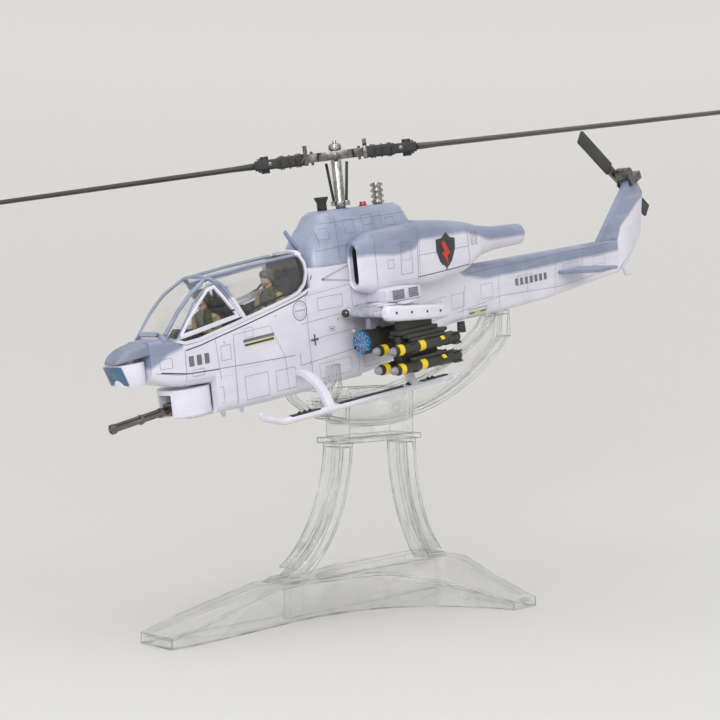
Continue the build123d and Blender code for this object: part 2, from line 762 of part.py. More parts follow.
# Cowl that overhangs the nose sensor: station, half width, bottom, top.
COWL_STATIONS = (
    (95.2, 5.4, 27.6, 31.6),
    (100.5, 5.0, 27.2, 30.6),
    (104.6, 3.9, 26.6, 28.9),
    (106.2, 2.8, 26.3, 27.3),
)
with BuildPart() as nose_cowl:
    for x, half, bottom, top in COWL_STATIONS:
        with BuildSketch(across(x, 0, (bottom + top) / 2)):
            RectangleRounded(2 * half, top - bottom, (top - bottom) * 0.3)
    loft(ruled=True)
    add(turret_well(1.6 + BEARING, 20, 29.2, SENSOR_X), mode=Mode.SUBTRACT)
    add(fuselage.part, mode=Mode.SUBTRACT)
nose_cowl.part.label = "nose_cowl"
export_step(nose_cowl.part, "parts/nose_cowl.step")

with BuildPart() as sensor_turret:
    add(turret_well(SENSOR_RADIUS, 19.2, 26.0, SENSOR_X))
    add(turret_well(1.6, 26.0, 28.8, SENSOR_X))
    add(plate(((99.6, 19.2), (103.0, 19.2), (105.6, 26.0), (99.6, 26.0)), 9.4, 0))
sensor_turret.part.label = "sensor_turret"
export_step(sensor_turret.part, "parts/sensor_turret.step")

with BuildPart() as sensor_window:
    add(plate(((103.2, 19.8), (103.8, 19.8), (106.0, 25.6), (105.4, 25.6)), 8.2, 0))
    add(sensor_turret.part, mode=Mode.SUBTRACT)
sensor_window.part.label = "sensor_window"
export_step(sensor_window.part, "parts/sensor_window.step")

GUN_PIVOT_X = 81.5
GUN_PIVOT_Z = 9.4
GUN_TILT = 4.3
GUN = AIRCRAFT * Location((GUN_PIVOT_X, 0, GUN_PIVOT_Z), (0, GUN_TILT, 0))
BARREL_START = 5.0
BARREL_END = 27.2

with BuildPart() as gun_turret:
    add(turret_well(TURRET_RADIUS, 6.4, 15.2, TURRET_X))
    fillet(gun_turret.edges().group_by(Axis.Z)[0], radius=1.0)
    add(turret_well(3.0, 15.2, 17.2, TURRET_X))
    add(plate(((76.0, 5), (76.0, 13.8), (95, 13.8), (95, 5)), 5.6, 0), mode=Mode.SUBTRACT)
    with BuildSketch(upright(4.2, GUN_PIVOT_X, GUN_PIVOT_Z)):
        Circle(0.7 + BEARING)
    extrude(amount=8.4, mode=Mode.SUBTRACT)
gun_turret.part.label = "gun_turret"
export_step(gun_turret.part, "parts/gun_turret.step")


def gun_plane(x, y=0.0, z=0.0):
    """Plane square to the barrels, at a distance ahead of the gun's pivot."""
    local = Plane(origin=(x, y, z), x_dir=(0, 1, 0), z_dir=(1, 0, 0))
    return Plane(GUN * local.location)


with BuildPart() as gun_cradle:
    with BuildSketch(gun_plane(-3.6)):
        RectangleRounded(4.4, 3.8, 0.6)
    extrude(amount=3.6 + BARREL_START)
    with BuildSketch(upright(4.0, GUN_PIVOT_X, GUN_PIVOT_Z)):
        Circle(0.7)
    extrude(amount=8.0)
gun_cradle.part.label = "gun_cradle"
export_step(gun_cradle.part, "parts/gun_cradle.step")

with BuildPart() as gun_barrels:
    with BuildSketch(gun_plane(BARREL_START)):
        with PolarLocations(0.85, 3):
            Circle(0.55)
    extrude(amount=BARREL_END - BARREL_START)
    for clamp, length in ((7.6, 1.0), (15.6, 0.8), (26.0, 1.2)):
        with BuildSketch(gun_plane(clamp)):
            Circle(1.55)
        extrude(amount=length)
    with BuildSketch(gun_plane(BARREL_END - 1.0)):
        with PolarLocations(0.85, 3):
            Circle(0.3)
    extrude(amount=1.0, mode=Mode.SUBTRACT)
gun_barrels.part.label = "gun_barrels"
export_step(gun_barrels.part, "parts/gun_barrels.step")

# ---------------------------------------------------------------- wings and stores


def wing_section(y, front, back):
    """Thick wing section with a blunt rounded nose, in an upright plane."""
    with BuildSketch(upright(y, 0, WING_Z)) as outline:
        with BuildLine():
            Line((back, 0.7), (back, -0.7))
            Spline((back, -0.7), (back + 12, -2.4), (front - 6, -3.1), (front - 1.4, -2.2), (front, 0))
            Spline((front, 0), (front - 1.4, 2.2), (front - 6, 3.1), (back + 12, 2.4), (back, 0.7))
        make_face()
    return outline.sketch


with BuildPart() as wing_port:
    add(wing_section(8.0, 20.5, -11.0))
    add(wing_section(WING_TIP_Y - 1.8, 16.5, -9.0))
    loft(ruled=True)
    add(fuselage.part, mode=Mode.SUBTRACT)
    tip = ((15, WING_Z - 3.8), (18, WING_Z), (15.5, WING_Z + 3.7), (-9, WING_Z + 2.6), (-10, WING_Z - 2.2))
    add(plate(tip, 1.8, WING_TIP_Y - 0.9))
wing_port.part.label = "wing_port"
export_step(wing_port.part, "parts/wing_port.step")

with BuildPart() as half_pylons:
    add(plate(((11, 22.2), (9, WING_Z), (-9, WING_Z), (-11, 22.2)), 2.4, POD_Y))
    add(plate(((9, 20.4), (8, WING_Z), (-7, WING_Z), (-8, 20.4)), 2.4, LAUNCHER_Y))
    add(wing_port.part, mode=Mode.SUBTRACT)
    with BuildSketch(across(15, POD_Y, POD_Z)):
        Circle(POD_RADIUS)
    extrude(amount=-33, mode=Mode.SUBTRACT)

with BuildPart() as half_pod:
    with BuildSketch(across(-15.5, POD_Y, POD_Z)):
        Circle(POD_RADIUS)
    extrude(amount=28.9)
    fillet(half_pod.faces().sort_by(Axis.X)[0].edges(), radius=1.2)

with BuildPart() as half_face:
    with BuildSketch(across(13.4, POD_Y, POD_Z)):
        Circle(POD_RADIUS - 0.25)
        Circle(0.42, mode=Mode.SUBTRACT)
        with PolarLocations(1.5, 6):
            Circle(0.42, mode=Mode.SUBTRACT)
        with PolarLocations(2.95, 12):
            Circle(0.42, mode=Mode.SUBTRACT)
    extrude(amount=0.9)

MISSILE_TOP_Z = 16.5
MISSILE_ROW_DROP = 6.4
MISSILE_NOSE_X = 18.6
MISSILE_TAIL_X = -17.4
MISSILE_PROFILE = (
    (36.0, 1.6), (35.4, MISSILE_RADIUS), (3.4, MISSILE_RADIUS), (1.2, 1.3), (0.3, 0.8), (0, 0.3),
)


def missile_rows():
    """Missile axis positions across and up, two rows of two."""
    for row in (0, 1):
        for side in (-0.5, 0.5):
            yield LAUNCHER_Y + side * MISSILE_SPACING, MISSILE_TOP_Z - row * MISSILE_ROW_DROP


with BuildPart() as half_launcher:
    add(plate(((10, 9.4), (10, 20.4), (-9, 20.4), (-9, 9.4)), 2.2, LAUNCHER_Y))
    for y, z in missile_rows():
        rail_foot = z + MISSILE_RADIUS
        rail = ((8, rail_foot), (8, rail_foot + 1.2), (-10, rail_foot + 1.2), (-10, rail_foot))
        add(plate(rail, 1.6, y))
        arm = ((6, rail_foot + 0.2), (6, rail_foot + 1.2), (-6, rail_foot + 1.2), (-6, rail_foot + 0.2))
        add(plate(arm, MISSILE_SPACING / 2 + 0.8, (y + LAUNCHER_Y) / 2))

with BuildPart() as missiles_port:
    for y, z in missile_rows():
        for setback, radius in MISSILE_PROFILE:
            with BuildSketch(across(MISSILE_NOSE_X - setback, y, z)):
                Circle(radius)
        loft(ruled=True)
        with BuildSketch(across(MISSILE_TAIL_X + 0.6, y, z)):
            for turn in (45, 135):
                Rectangle(5.8, 0.5, rotation=turn)
        extrude(amount=6.0)
missiles_port.part.label = "missiles_port"
export_step(missiles_port.part, "parts/missiles_port.step")

with BuildPart() as wing_starboard:
    add(mirrored(wing_port.part))
wing_starboard.part.label = "wing_starboard"
export_step(wing_starboard.part, "parts/wing_starboard.step")

with BuildPart() as wing_pylons:
    add(half_pylons.part)
    add(mirrored(half_pylons.part))
wing_pylons.part.label = "wing_pylons"
export_step(wing_pylons.part, "parts/wing_pylons.step")

with BuildPart() as rocket_pods:
    add(half_pod.part)
    add(mirrored(half_pod.part))
rocket_pods.part.label = "rocket_pods"
export_step(rocket_pods.part, "parts/rocket_pods.step")

with BuildPart() as pod_faces:
    add(half_face.part)
    add(mirrored(half_face.part))
pod_faces.part.label = "pod_faces"
export_step(pod_faces.part, "parts/pod_faces.step")

with BuildPart() as missile_launchers:
    add(half_launcher.part)
    add(mirrored(half_launcher.part))
missile_launchers.part.label = "missile_launchers"
export_step(missile_launchers.part, "parts/missile_launchers.step")

with BuildPart() as missiles_starboard:
    add(mirrored(missiles_port.part))
missiles_starboard.part.label = "missiles_starboard"
export_step(missiles_starboard.part, "parts/missiles_starboard.step")

# ---------------------------------------------------------------- landing skids

with BuildPart() as skid_port:
    with BuildLine(upright(SKID_Y)) as skid_path:
        run = Line((-25.0, SKID_RADIUS), (58.0, SKID_RADIUS))
        Spline(run @ 1, (64.5, 2.8), (68.4, 5.6), tangents=(run % 1, (1, 1)))
    with BuildSketch(across(-25.0, SKID_Y, SKID_RADIUS)):
        Circle(SKID_RADIUS)
    sweep(path=skid_path.line)
skid_port.part.label = "skid_port"
export_step(skid_port.part, "parts/skid_port.step")

with BuildPart() as skid_starboard:
    add(mirrored(skid_port.part))
skid_starboard.part.label = "skid_starboard"
export_step(skid_starboard.part, "parts/skid_starboard.step")


def cross_tube(x, chord, shoulder):
    """Pair of arched legs from the belly out to both skids."""
    with BuildPart() as tube:
        for side in (-1, 1):
            with BuildSketch(across(x - chord / 2)):
                with BuildLine():
                    Spline(
                        (side * SKID_Y, 1.4),
                        (side * 20.6, 5.2),
                        (side * 16.0, shoulder - 2.4),
                        (side * 8.0, shoulder),
                    )
                trace(line_width=1.8)
            extrude(amount=chord)
        add(fuselage.part, mode=Mode.SUBTRACT)
        add(skid_port.part, mode=Mode.SUBTRACT)
        add(skid_starboard.part, mode=Mode.SUBTRACT)
    return tube.part


with BuildPart() as cross_tube_front:
    add(cross_tube(38.0, 3.2, 13.0))
cross_tube_front.part.label = "cross_tube_front"
export_step(cross_tube_front.part, "parts/cross_tube_front.step")

with BuildPart() as cross_tube_rear:
    add(cross_tube(-4.0, 3.2, 14.0))
cross_tube_rear.part.label = "cross_tube_rear"
export_step(cross_tube_rear.part, "parts/cross_tube_rear.step")

# ---------------------------------------------------------------- main rotor

ROTOR = (
    AIRCRAFT
    * Location((0, 0, HUB_Z), (0, 0, ROTOR_AZIMUTH))
    * Location((0, 0, 0), (0, TEETER, 0))
)
MAST = AIRCRAFT * Location((0, 0, 0), (0, 0, ROTOR_AZIMUTH))
HUB_HOLE = 2.6


def blade_frame(turn):
    """Rotor frame turned to one blade, tipped down by the blade's droop."""
    return ROTOR * Location((0, 0, 0), (0, 0, turn)) * Location((0, 0, 0), (0, DROOP, 0))


def blade_plane(turn, distance):
    """Plane square to a blade's span, at a distance from the mast."""
    local = Plane(origin=(distance, 0, 0), x_dir=(0, 1, 0), z_dir=(1, 0, 0))
    return Plane(blade_frame(turn) * local.location)


with BuildPart() as mast:
    with BuildSketch(level(55.0)):
        Circle(MAST_RADIUS)
    extrude(amount=30.0)
    with BuildSketch(Plane(MAST * Location((0, 0, 65.0)))):
        Circle(3.4)
        with Locations((2.2, -3.4), (-2.2, 3.4)):
            Circle(1.1)
    extrude(amount=1.6)
    with BuildSketch(level(84.2)):
        Circle(2.3)
    extrude(amount=2.2)
    fillet(mast.faces().sort_by(Axis.Z)[-1].edges(), radius=1.2)
    with BuildSketch(level(86.0)):
        Circle(0.7)
    extrude(amount=1.4)
    with Locations(ROTOR * Location((0, 0, 0), (90, 0, 0))):
        Cylinder(0.7 + BEARING, 12, mode=Mode.SUBTRACT)
mast.part.label = "mast"
export_step(mast.part, "parts/mast.step")

with BuildPart() as pitch_links:
    for side in (-1, 1):
        foot = MAST * Location((side * 2.2, -side * 3.4, 66.6))
        head = MAST * Location((side * 3.6, -side * 5.2, 79.8))
        along_link = head.position - foot.position
        with BuildSketch(Plane(origin=foot.position, z_dir=along_link)):
            Circle(0.5)
        extrude(amount=along_link.length)
    add(mast.part, mode=Mode.SUBTRACT)
pitch_links.part.label = "pitch_links"
export_step(pitch_links.part, "parts/pitch_links.step")

with BuildPart() as rotor_yoke:
    with BuildSketch(Plane(ROTOR * Location((0, 0, -1.5)))):
        RectangleRounded(13.0, 7.4, 2.4)
        Rectangle(22.0, 4.2)
        Circle(HUB_HOLE, mode=Mode.SUBTRACT)
    extrude(amount=3.0)
    with Locations(ROTOR * Location((0, 0, 0), (90, 0, 0))):
        Cylinder(0.7, 7.0)
rotor_yoke.part.label = "rotor_yoke"
export_step(rotor_yoke.part, "parts/rotor_yoke.step")

with BuildPart() as blade_grips:
    for turn in (0, 180):
        with BuildSketch(blade_plane(turn, 11.0)):
            RectangleRounded(5.6, 4.0, 0.8)
        extrude(amount=9.4)
        with BuildSketch(blade_plane(turn, 20.4)):
            RectangleRounded(6.6, 3.4, 0.7)
        extrude(amount=7.6)
        with Locations(blade_frame(turn) * Location((24.7, 0, 0))):
            Cylinder(1.5, 5.8)
    add(rotor_yoke.part, mode=Mode.SUBTRACT)
blade_grips.part.label = "blade_grips"
export_step(blade_grips.part, "parts/blade_grips.step")

with BuildPart() as rotor_horns:
    for turn in (0, 180):
        with BuildSketch(blade_plane(turn, 9.6)):
            Rectangle(5.2, 4.4)
            with Locations((0, 3.2)):
                Rectangle(1.6, 3.0)
                Circle(1.1)
        extrude(amount=1.4)
    add(rotor_yoke.part, mode=Mode.SUBTRACT)
rotor_horns.part.label = "rotor_horns"
export_step(rotor_horns.part, "parts/rotor_horns.step")


def blade(turn):
    """Main blade: a flat lens section with a little collective pitch."""
    pitch = math.radians(7.0)
    with BuildPart() as wing:
        for distance, chord, thickness in (
            (28.0, 7.0, 2.4),
            (36.0, BLADE_CHORD, 1.9),
            (ROTOR_RADIUS, BLADE_CHORD, 1.5),
        ):
            section = blade_plane(turn, distance)
            with BuildSketch(section.rotated((0, 0, math.degrees(pitch)))):
                Polygon(
                    (chord * 0.3, 0), (chord * 0.24, thickness * 0.4), (chord * 0.08, thickness * 0.5),
                    (-chord * 0.7, 0.15), (-chord * 0.7, -0.15),
                    (chord * 0.08, -thickness * 0.5), (chord * 0.24, -thickness * 0.4),
                    align=None,
                )
        loft(ruled=True)
    return wing.part


with BuildPart() as main_blade_a:
    add(blade(0))
    add(blade_grips.part, mode=Mode.SUBTRACT)
main_blade_a.part.label = "main_blade_a"
export_step(main_blade_a.part, "parts/main_blade_a.step")

with BuildPart() as main_blade_b:
    add(blade(180))
    add(blade_grips.part, mode=Mode.SUBTRACT)
main_blade_b.part.label = "main_blade_b"
export_step(main_blade_b.part, "parts/main_blade_b.step")

# ---------------------------------------------------------------- tail rotor

with BuildPart() as tail_gearbox:
    with BuildSketch(upright(2.6, TAIL_ROTOR_X, TAIL_ROTOR_Z)):
        Circle(2.7)
        with Locations((-5.0, -2.4)):
            Rectangle(9.0, 3.6, rotation=-20)
    extrude(amount=6.0)
    with BuildSketch(upright(-1.2, TAIL_ROTOR_X, TAIL_ROTOR_Z)):
        Circle(0.9 + BEARING)
    extrude(amount=3.0, mode=Mode.SUBTRACT)
    add(tail_fin.part, mode=Mode.SUBTRACT)
tail_gearbox.part.label = "tail_gearbox"
export_step(tail_gearbox.part, "parts/tail_gearbox.step")

with BuildPart() as tail_rotor_hub:
    with BuildSketch(upright(-1.6, TAIL_ROTOR_X, TAIL_ROTOR_Z)):
        Circle(0.9)
    extrude(amount=5.4)
    with BuildSketch(upright(-4.4, TAIL_ROTOR_X, TAIL_ROTOR_Z)):
        Rectangle(9.0, 3.4, rotation=TAIL_ROTOR_ANGLE)
    extrude(amount=1.8)
tail_rotor_hub.part.label = "tail_rotor_hub"
export_step(tail_rotor_hub.part, "parts/tail_rotor_hub.step")

with BuildPart() as tail_rotor_blades:
    for side in (-1, 1):
        reach = math.radians(TAIL_ROTOR_ANGLE)
        middle = side * (TAIL_ROTOR_RADIUS + 4.5) / 2
        with BuildSketch(upright(-4.75, TAIL_ROTOR_X, TAIL_ROTOR_Z)):
            with Locations((middle * math.cos(reach), middle * math.sin(reach))):
                RectangleRounded(TAIL_ROTOR_RADIUS - 4.5, 6.0, 0.5, rotation=TAIL_ROTOR_ANGLE)
        extrude(amount=1.1)
tail_rotor_blades.part.label = "tail_rotor_blades"
export_step(tail_rotor_blades.part, "parts/tail_rotor_blades.step")
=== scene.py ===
import bisect
import json
import math

import bmesh
import bpy
from mathutils import Matrix, Vector
from mathutils.bvhtree import BVHTree

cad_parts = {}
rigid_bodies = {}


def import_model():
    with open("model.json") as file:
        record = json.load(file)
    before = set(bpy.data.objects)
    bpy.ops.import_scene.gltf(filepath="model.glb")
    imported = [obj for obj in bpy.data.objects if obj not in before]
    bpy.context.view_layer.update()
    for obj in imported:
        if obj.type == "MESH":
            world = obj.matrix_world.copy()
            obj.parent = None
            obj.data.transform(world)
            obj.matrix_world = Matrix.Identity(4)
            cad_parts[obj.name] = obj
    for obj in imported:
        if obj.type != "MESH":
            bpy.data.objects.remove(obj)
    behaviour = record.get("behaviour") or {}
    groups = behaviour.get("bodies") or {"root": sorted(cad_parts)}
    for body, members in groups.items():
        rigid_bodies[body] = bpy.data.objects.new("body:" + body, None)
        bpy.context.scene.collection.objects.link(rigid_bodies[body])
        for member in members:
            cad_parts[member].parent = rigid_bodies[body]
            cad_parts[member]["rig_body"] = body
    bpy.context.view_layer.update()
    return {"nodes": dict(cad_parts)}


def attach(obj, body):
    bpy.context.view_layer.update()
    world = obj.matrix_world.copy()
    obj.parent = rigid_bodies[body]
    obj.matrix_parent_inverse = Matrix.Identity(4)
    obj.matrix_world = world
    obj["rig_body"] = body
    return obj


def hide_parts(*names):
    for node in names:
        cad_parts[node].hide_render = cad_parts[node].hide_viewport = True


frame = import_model()
NODES = frame["nodes"]
MM = 0.001

# Helicopter frame in millimetres: origin on the mast axis at skid height, tipped nose down on its stand.
MAST_FOOT = (0.006, 0, 0.076)
NOSE_DOWN = math.radians(8.35)
AIRCRAFT = Matrix.Translation(MAST_FOOT) @ Matrix.Rotation(NOSE_DOWN, 4, "Y")
TO_AIRCRAFT = AIRCRAFT.inverted()
SIDES = (1, -1)
PRISM = [[0, 1, 2, 3], [7, 6, 5, 4], [0, 4, 5, 1], [1, 5, 6, 2], [2, 6, 7, 3], [3, 7, 4, 0]]


# ---------------------------------------------------------------- materials


def graph(name):
    """New material with its tree and its main shader."""
    material = bpy.data.materials.new(name)
    material.use_nodes = True
    tree = material.node_tree
    return material, tree, tree.nodes["Principled BSDF"]


def node(tree, kind, *inputs, **settings):
    """Adds a shader node; inputs are (socket, value or another node's output)."""
    made = tree.nodes.new("ShaderNode" + kind)
    for key, value in settings.items():
        setattr(made, key, value)
    for socket, value in inputs:
        if isinstance(value, bpy.types.NodeSocket):
            tree.links.new(value, made.inputs[socket])
        else:
            made.inputs[socket].default_value = value
    return made


def calc(tree, operation, *values, clamp=False):
    """Math node."""
    return node(tree, "Math", *enumerate(values), operation=operation, use_clamp=clamp).outputs[0]


def blend_colours(tree, factor, first, second):
    """Colour mix node."""
    mixed = node(tree, "Mix", data_type="RGBA")
    for socket, value in ((0, factor), (6, first), (7, second)):
        if isinstance(value, bpy.types.NodeSocket):
            tree.links.new(value, mixed.inputs[socket])
        else:
            mixed.inputs[socket].default_value = value
    return mixed.outputs[2]


def spun(count):
    """Angles of equal steps round a full turn."""
    return [2 * math.pi * k / count for k in range(count)]


def rgba(colour):
    """Colour with full opacity."""
    return (*colour, 1.0)


def place(tree, stretch=(1, 1, 1)):
    """Coordinates in the helicopter frame, stretched along each axis."""
    spot = node(tree, "TexCoord").outputs["Object"]
    local = node(tree, "Mapping", (0, spot), (1, TO_AIRCRAFT.to_translation()),
                 (2, TO_AIRCRAFT.to_euler())).outputs[0]
    return node(tree, "Mapping", (0, local), (3, stretch)).outputs[0]


def noise(tree, where, scale, detail=4.0, rough=0.55):
    """Noise value from 0 to 1."""
    made = node(tree, "TexNoise", ("Vector", where), ("Scale", scale), ("Detail", detail),
                ("Roughness", rough))
    return made.outputs["Fac"]


def spread(tree, value, low, high, to_low, to_high):
    """Value mapped from one range to another."""
    made = node(tree, "MapRange", (0, value), (1, low), (2, high), (3, to_low), (4, to_high))
    return made.outputs[0]


def relief(tree, shader, height, strength, distance):
    """Bump from a height value."""
    bump = node(tree, "Bump", ("Strength", strength), ("Distance", distance), ("Height", height))
    tree.links.new(bump.outputs[0], shader.inputs["Normal"])


def surface(name, light, dark, scale=90, rough=(0.35, 0.5), metal=0.0, grain=900, bump=0.12, coat=0.0,
            stretch=(1, 1, 1)):
    """Finish with soft colour change, fine grain in its gloss and a faint relief."""
    material, tree, shader = graph(name)
    where = place(tree, stretch)
    soft = noise(tree, where, scale)
    fine = noise(tree, where, grain, 3.0)
    mix = spread(tree, soft, 0.36, 0.64, 0.0, 1.0)
    tree.links.new(blend_colours(tree, mix, rgba(light), rgba(dark)), shader.inputs["Base Color"])
    tree.links.new(spread(tree, fine, 0.3, 0.7, *rough), shader.inputs["Roughness"])
    relief(tree, shader, fine, bump, 0.00008)
    shader.inputs["Metallic"].default_value = metal
    shader.inputs["Coat Weight"].default_value = coat
    return material


UPPER_LIGHT = (0.285, 0.325, 0.455)
UPPER_DARK = (0.215, 0.25, 0.37)
LOWER_LIGHT = (0.74, 0.73, 0.82)
LOWER_DARK = (0.66, 0.65, 0.745)


def height_curve(tree, x, points, low, high):
    """Height over the floor as a curve of the distance along the fuselage, both in millimetres."""
    across = spread(tree, x, low * MM, high * MM, 0.0, 1.0)
    curve = node(tree, "FloatCurve", ("Value", across))
    line = curve.mapping.curves[0]
    ordered = sorted(points)
    for spot, (along, tall) in zip(line.points, (ordered[0], ordered[-1])):
        spot.location = ((along - low) / (high - low), tall / 100)
        spot.handle_type = "VECTOR"
    for along, tall in ordered[1:-1]:
        spot = line.points.new((along - low) / (high - low), tall / 100)
        spot.handle_type = "VECTOR"
    curve.mapping.update()
    return calc(tree, "MULTIPLY", curve.outputs[0], 100 * MM)


def two_tone(name, boundary, edge=0.7, low=-210.0, high=110.0):
    """Blue-grey above the boundary, pale grey below, with sprayed edges and faint stains."""
    material, tree, shader = graph(name)
    where = place(tree)
    split = node(tree, "SeparateXYZ", (0, where))
    soft = noise(tree, where, 55)
    streak = noise(tree, place(tree, (0.35, 1, 2.2)), 150, 5.0)
    fine = noise(tree, where, 1100, 3.0)
    limit = height_curve(tree, split.outputs[0], boundary, low, high)
    over = calc(tree, "SUBTRACT", split.outputs[2], limit)
    over = calc(tree, "ADD", over, calc(tree, "MULTIPLY", calc(tree, "SUBTRACT", streak, 0.5), 1.6 * MM))
    mask = spread(tree, over, -edge * MM, edge * MM, 0.0, 1.0)
    tone = spread(tree, soft, 0.35, 0.65, 0.0, 1.0)
    stain = spread(tree, streak, 0.52, 0.8, 0.0, 0.35)
    upper = blend_colours(tree, tone, rgba(UPPER_LIGHT), rgba(UPPER_DARK))
    lower = blend_colours(tree, tone, rgba(LOWER_LIGHT), rgba(LOWER_DARK))
    paint = blend_colours(tree, mask, lower, upper)
    worn = blend_colours(tree, stain, paint, rgba((0.55, 0.57, 0.64)))
    tree.links.new(worn, shader.inputs["Base Color"])
    tree.links.new(spread(tree, fine, 0.3, 0.7, 0.30, 0.44), shader.inputs["Roughness"])
    relief(tree, shader, fine, 0.08, 0.00006)
    shader.inputs["Coat Weight"].default_value = 0.15
    return material


def clear(name, tint, alpha, rough, ripple):
    """Clear plastic with slight flow marks from its mould."""
    material, tree, shader = graph(name)
    where = place(tree)
    flow = noise(tree, where, 40, 2.0)
    tree.links.new(blend_colours(tree, flow, rgba(tint), rgba((1, 1, 1))), shader.inputs["Base Color"])
    tree.links.new(spread(tree, flow, 0.3, 0.7, rough, rough * 2), shader.inputs["Roughness"])
    relief(tree, shader, flow, ripple, 0.0004)
    shader.inputs["Transmission Weight"].default_value = 1.0
    shader.inputs["IOR"].default_value = 1.46
    shader.inputs["Alpha"].default_value = alpha
    return material


def camouflage(name, colours, scale=900):
    """Cloth with woodland patches in three colours."""
    material, tree, shader = graph(name)
    where = place(tree)
    patch = noise(tree, where, scale, 2.0)
    ramp = node(tree, "ValToRGB", (0, patch))
    ramp.color_ramp.interpolation = "CONSTANT"
    stops = ramp.color_ramp.elements
    stops[0].color = rgba(colours[0])
    stops[1].position = 0.47
    stops[1].color = rgba(colours[1])
    stops.new(0.56).color = rgba(colours[2])
    tree.links.new(ramp.outputs[0], shader.inputs["Base Color"])
    weave = noise(tree, where, 4200, 2.0)
    tree.links.new(spread(tree, weave, 0.3, 0.7, 0.75, 0.95), shader.inputs["Roughness"])
    relief(tree, shader, weave, 0.3, 0.0001)
    return material


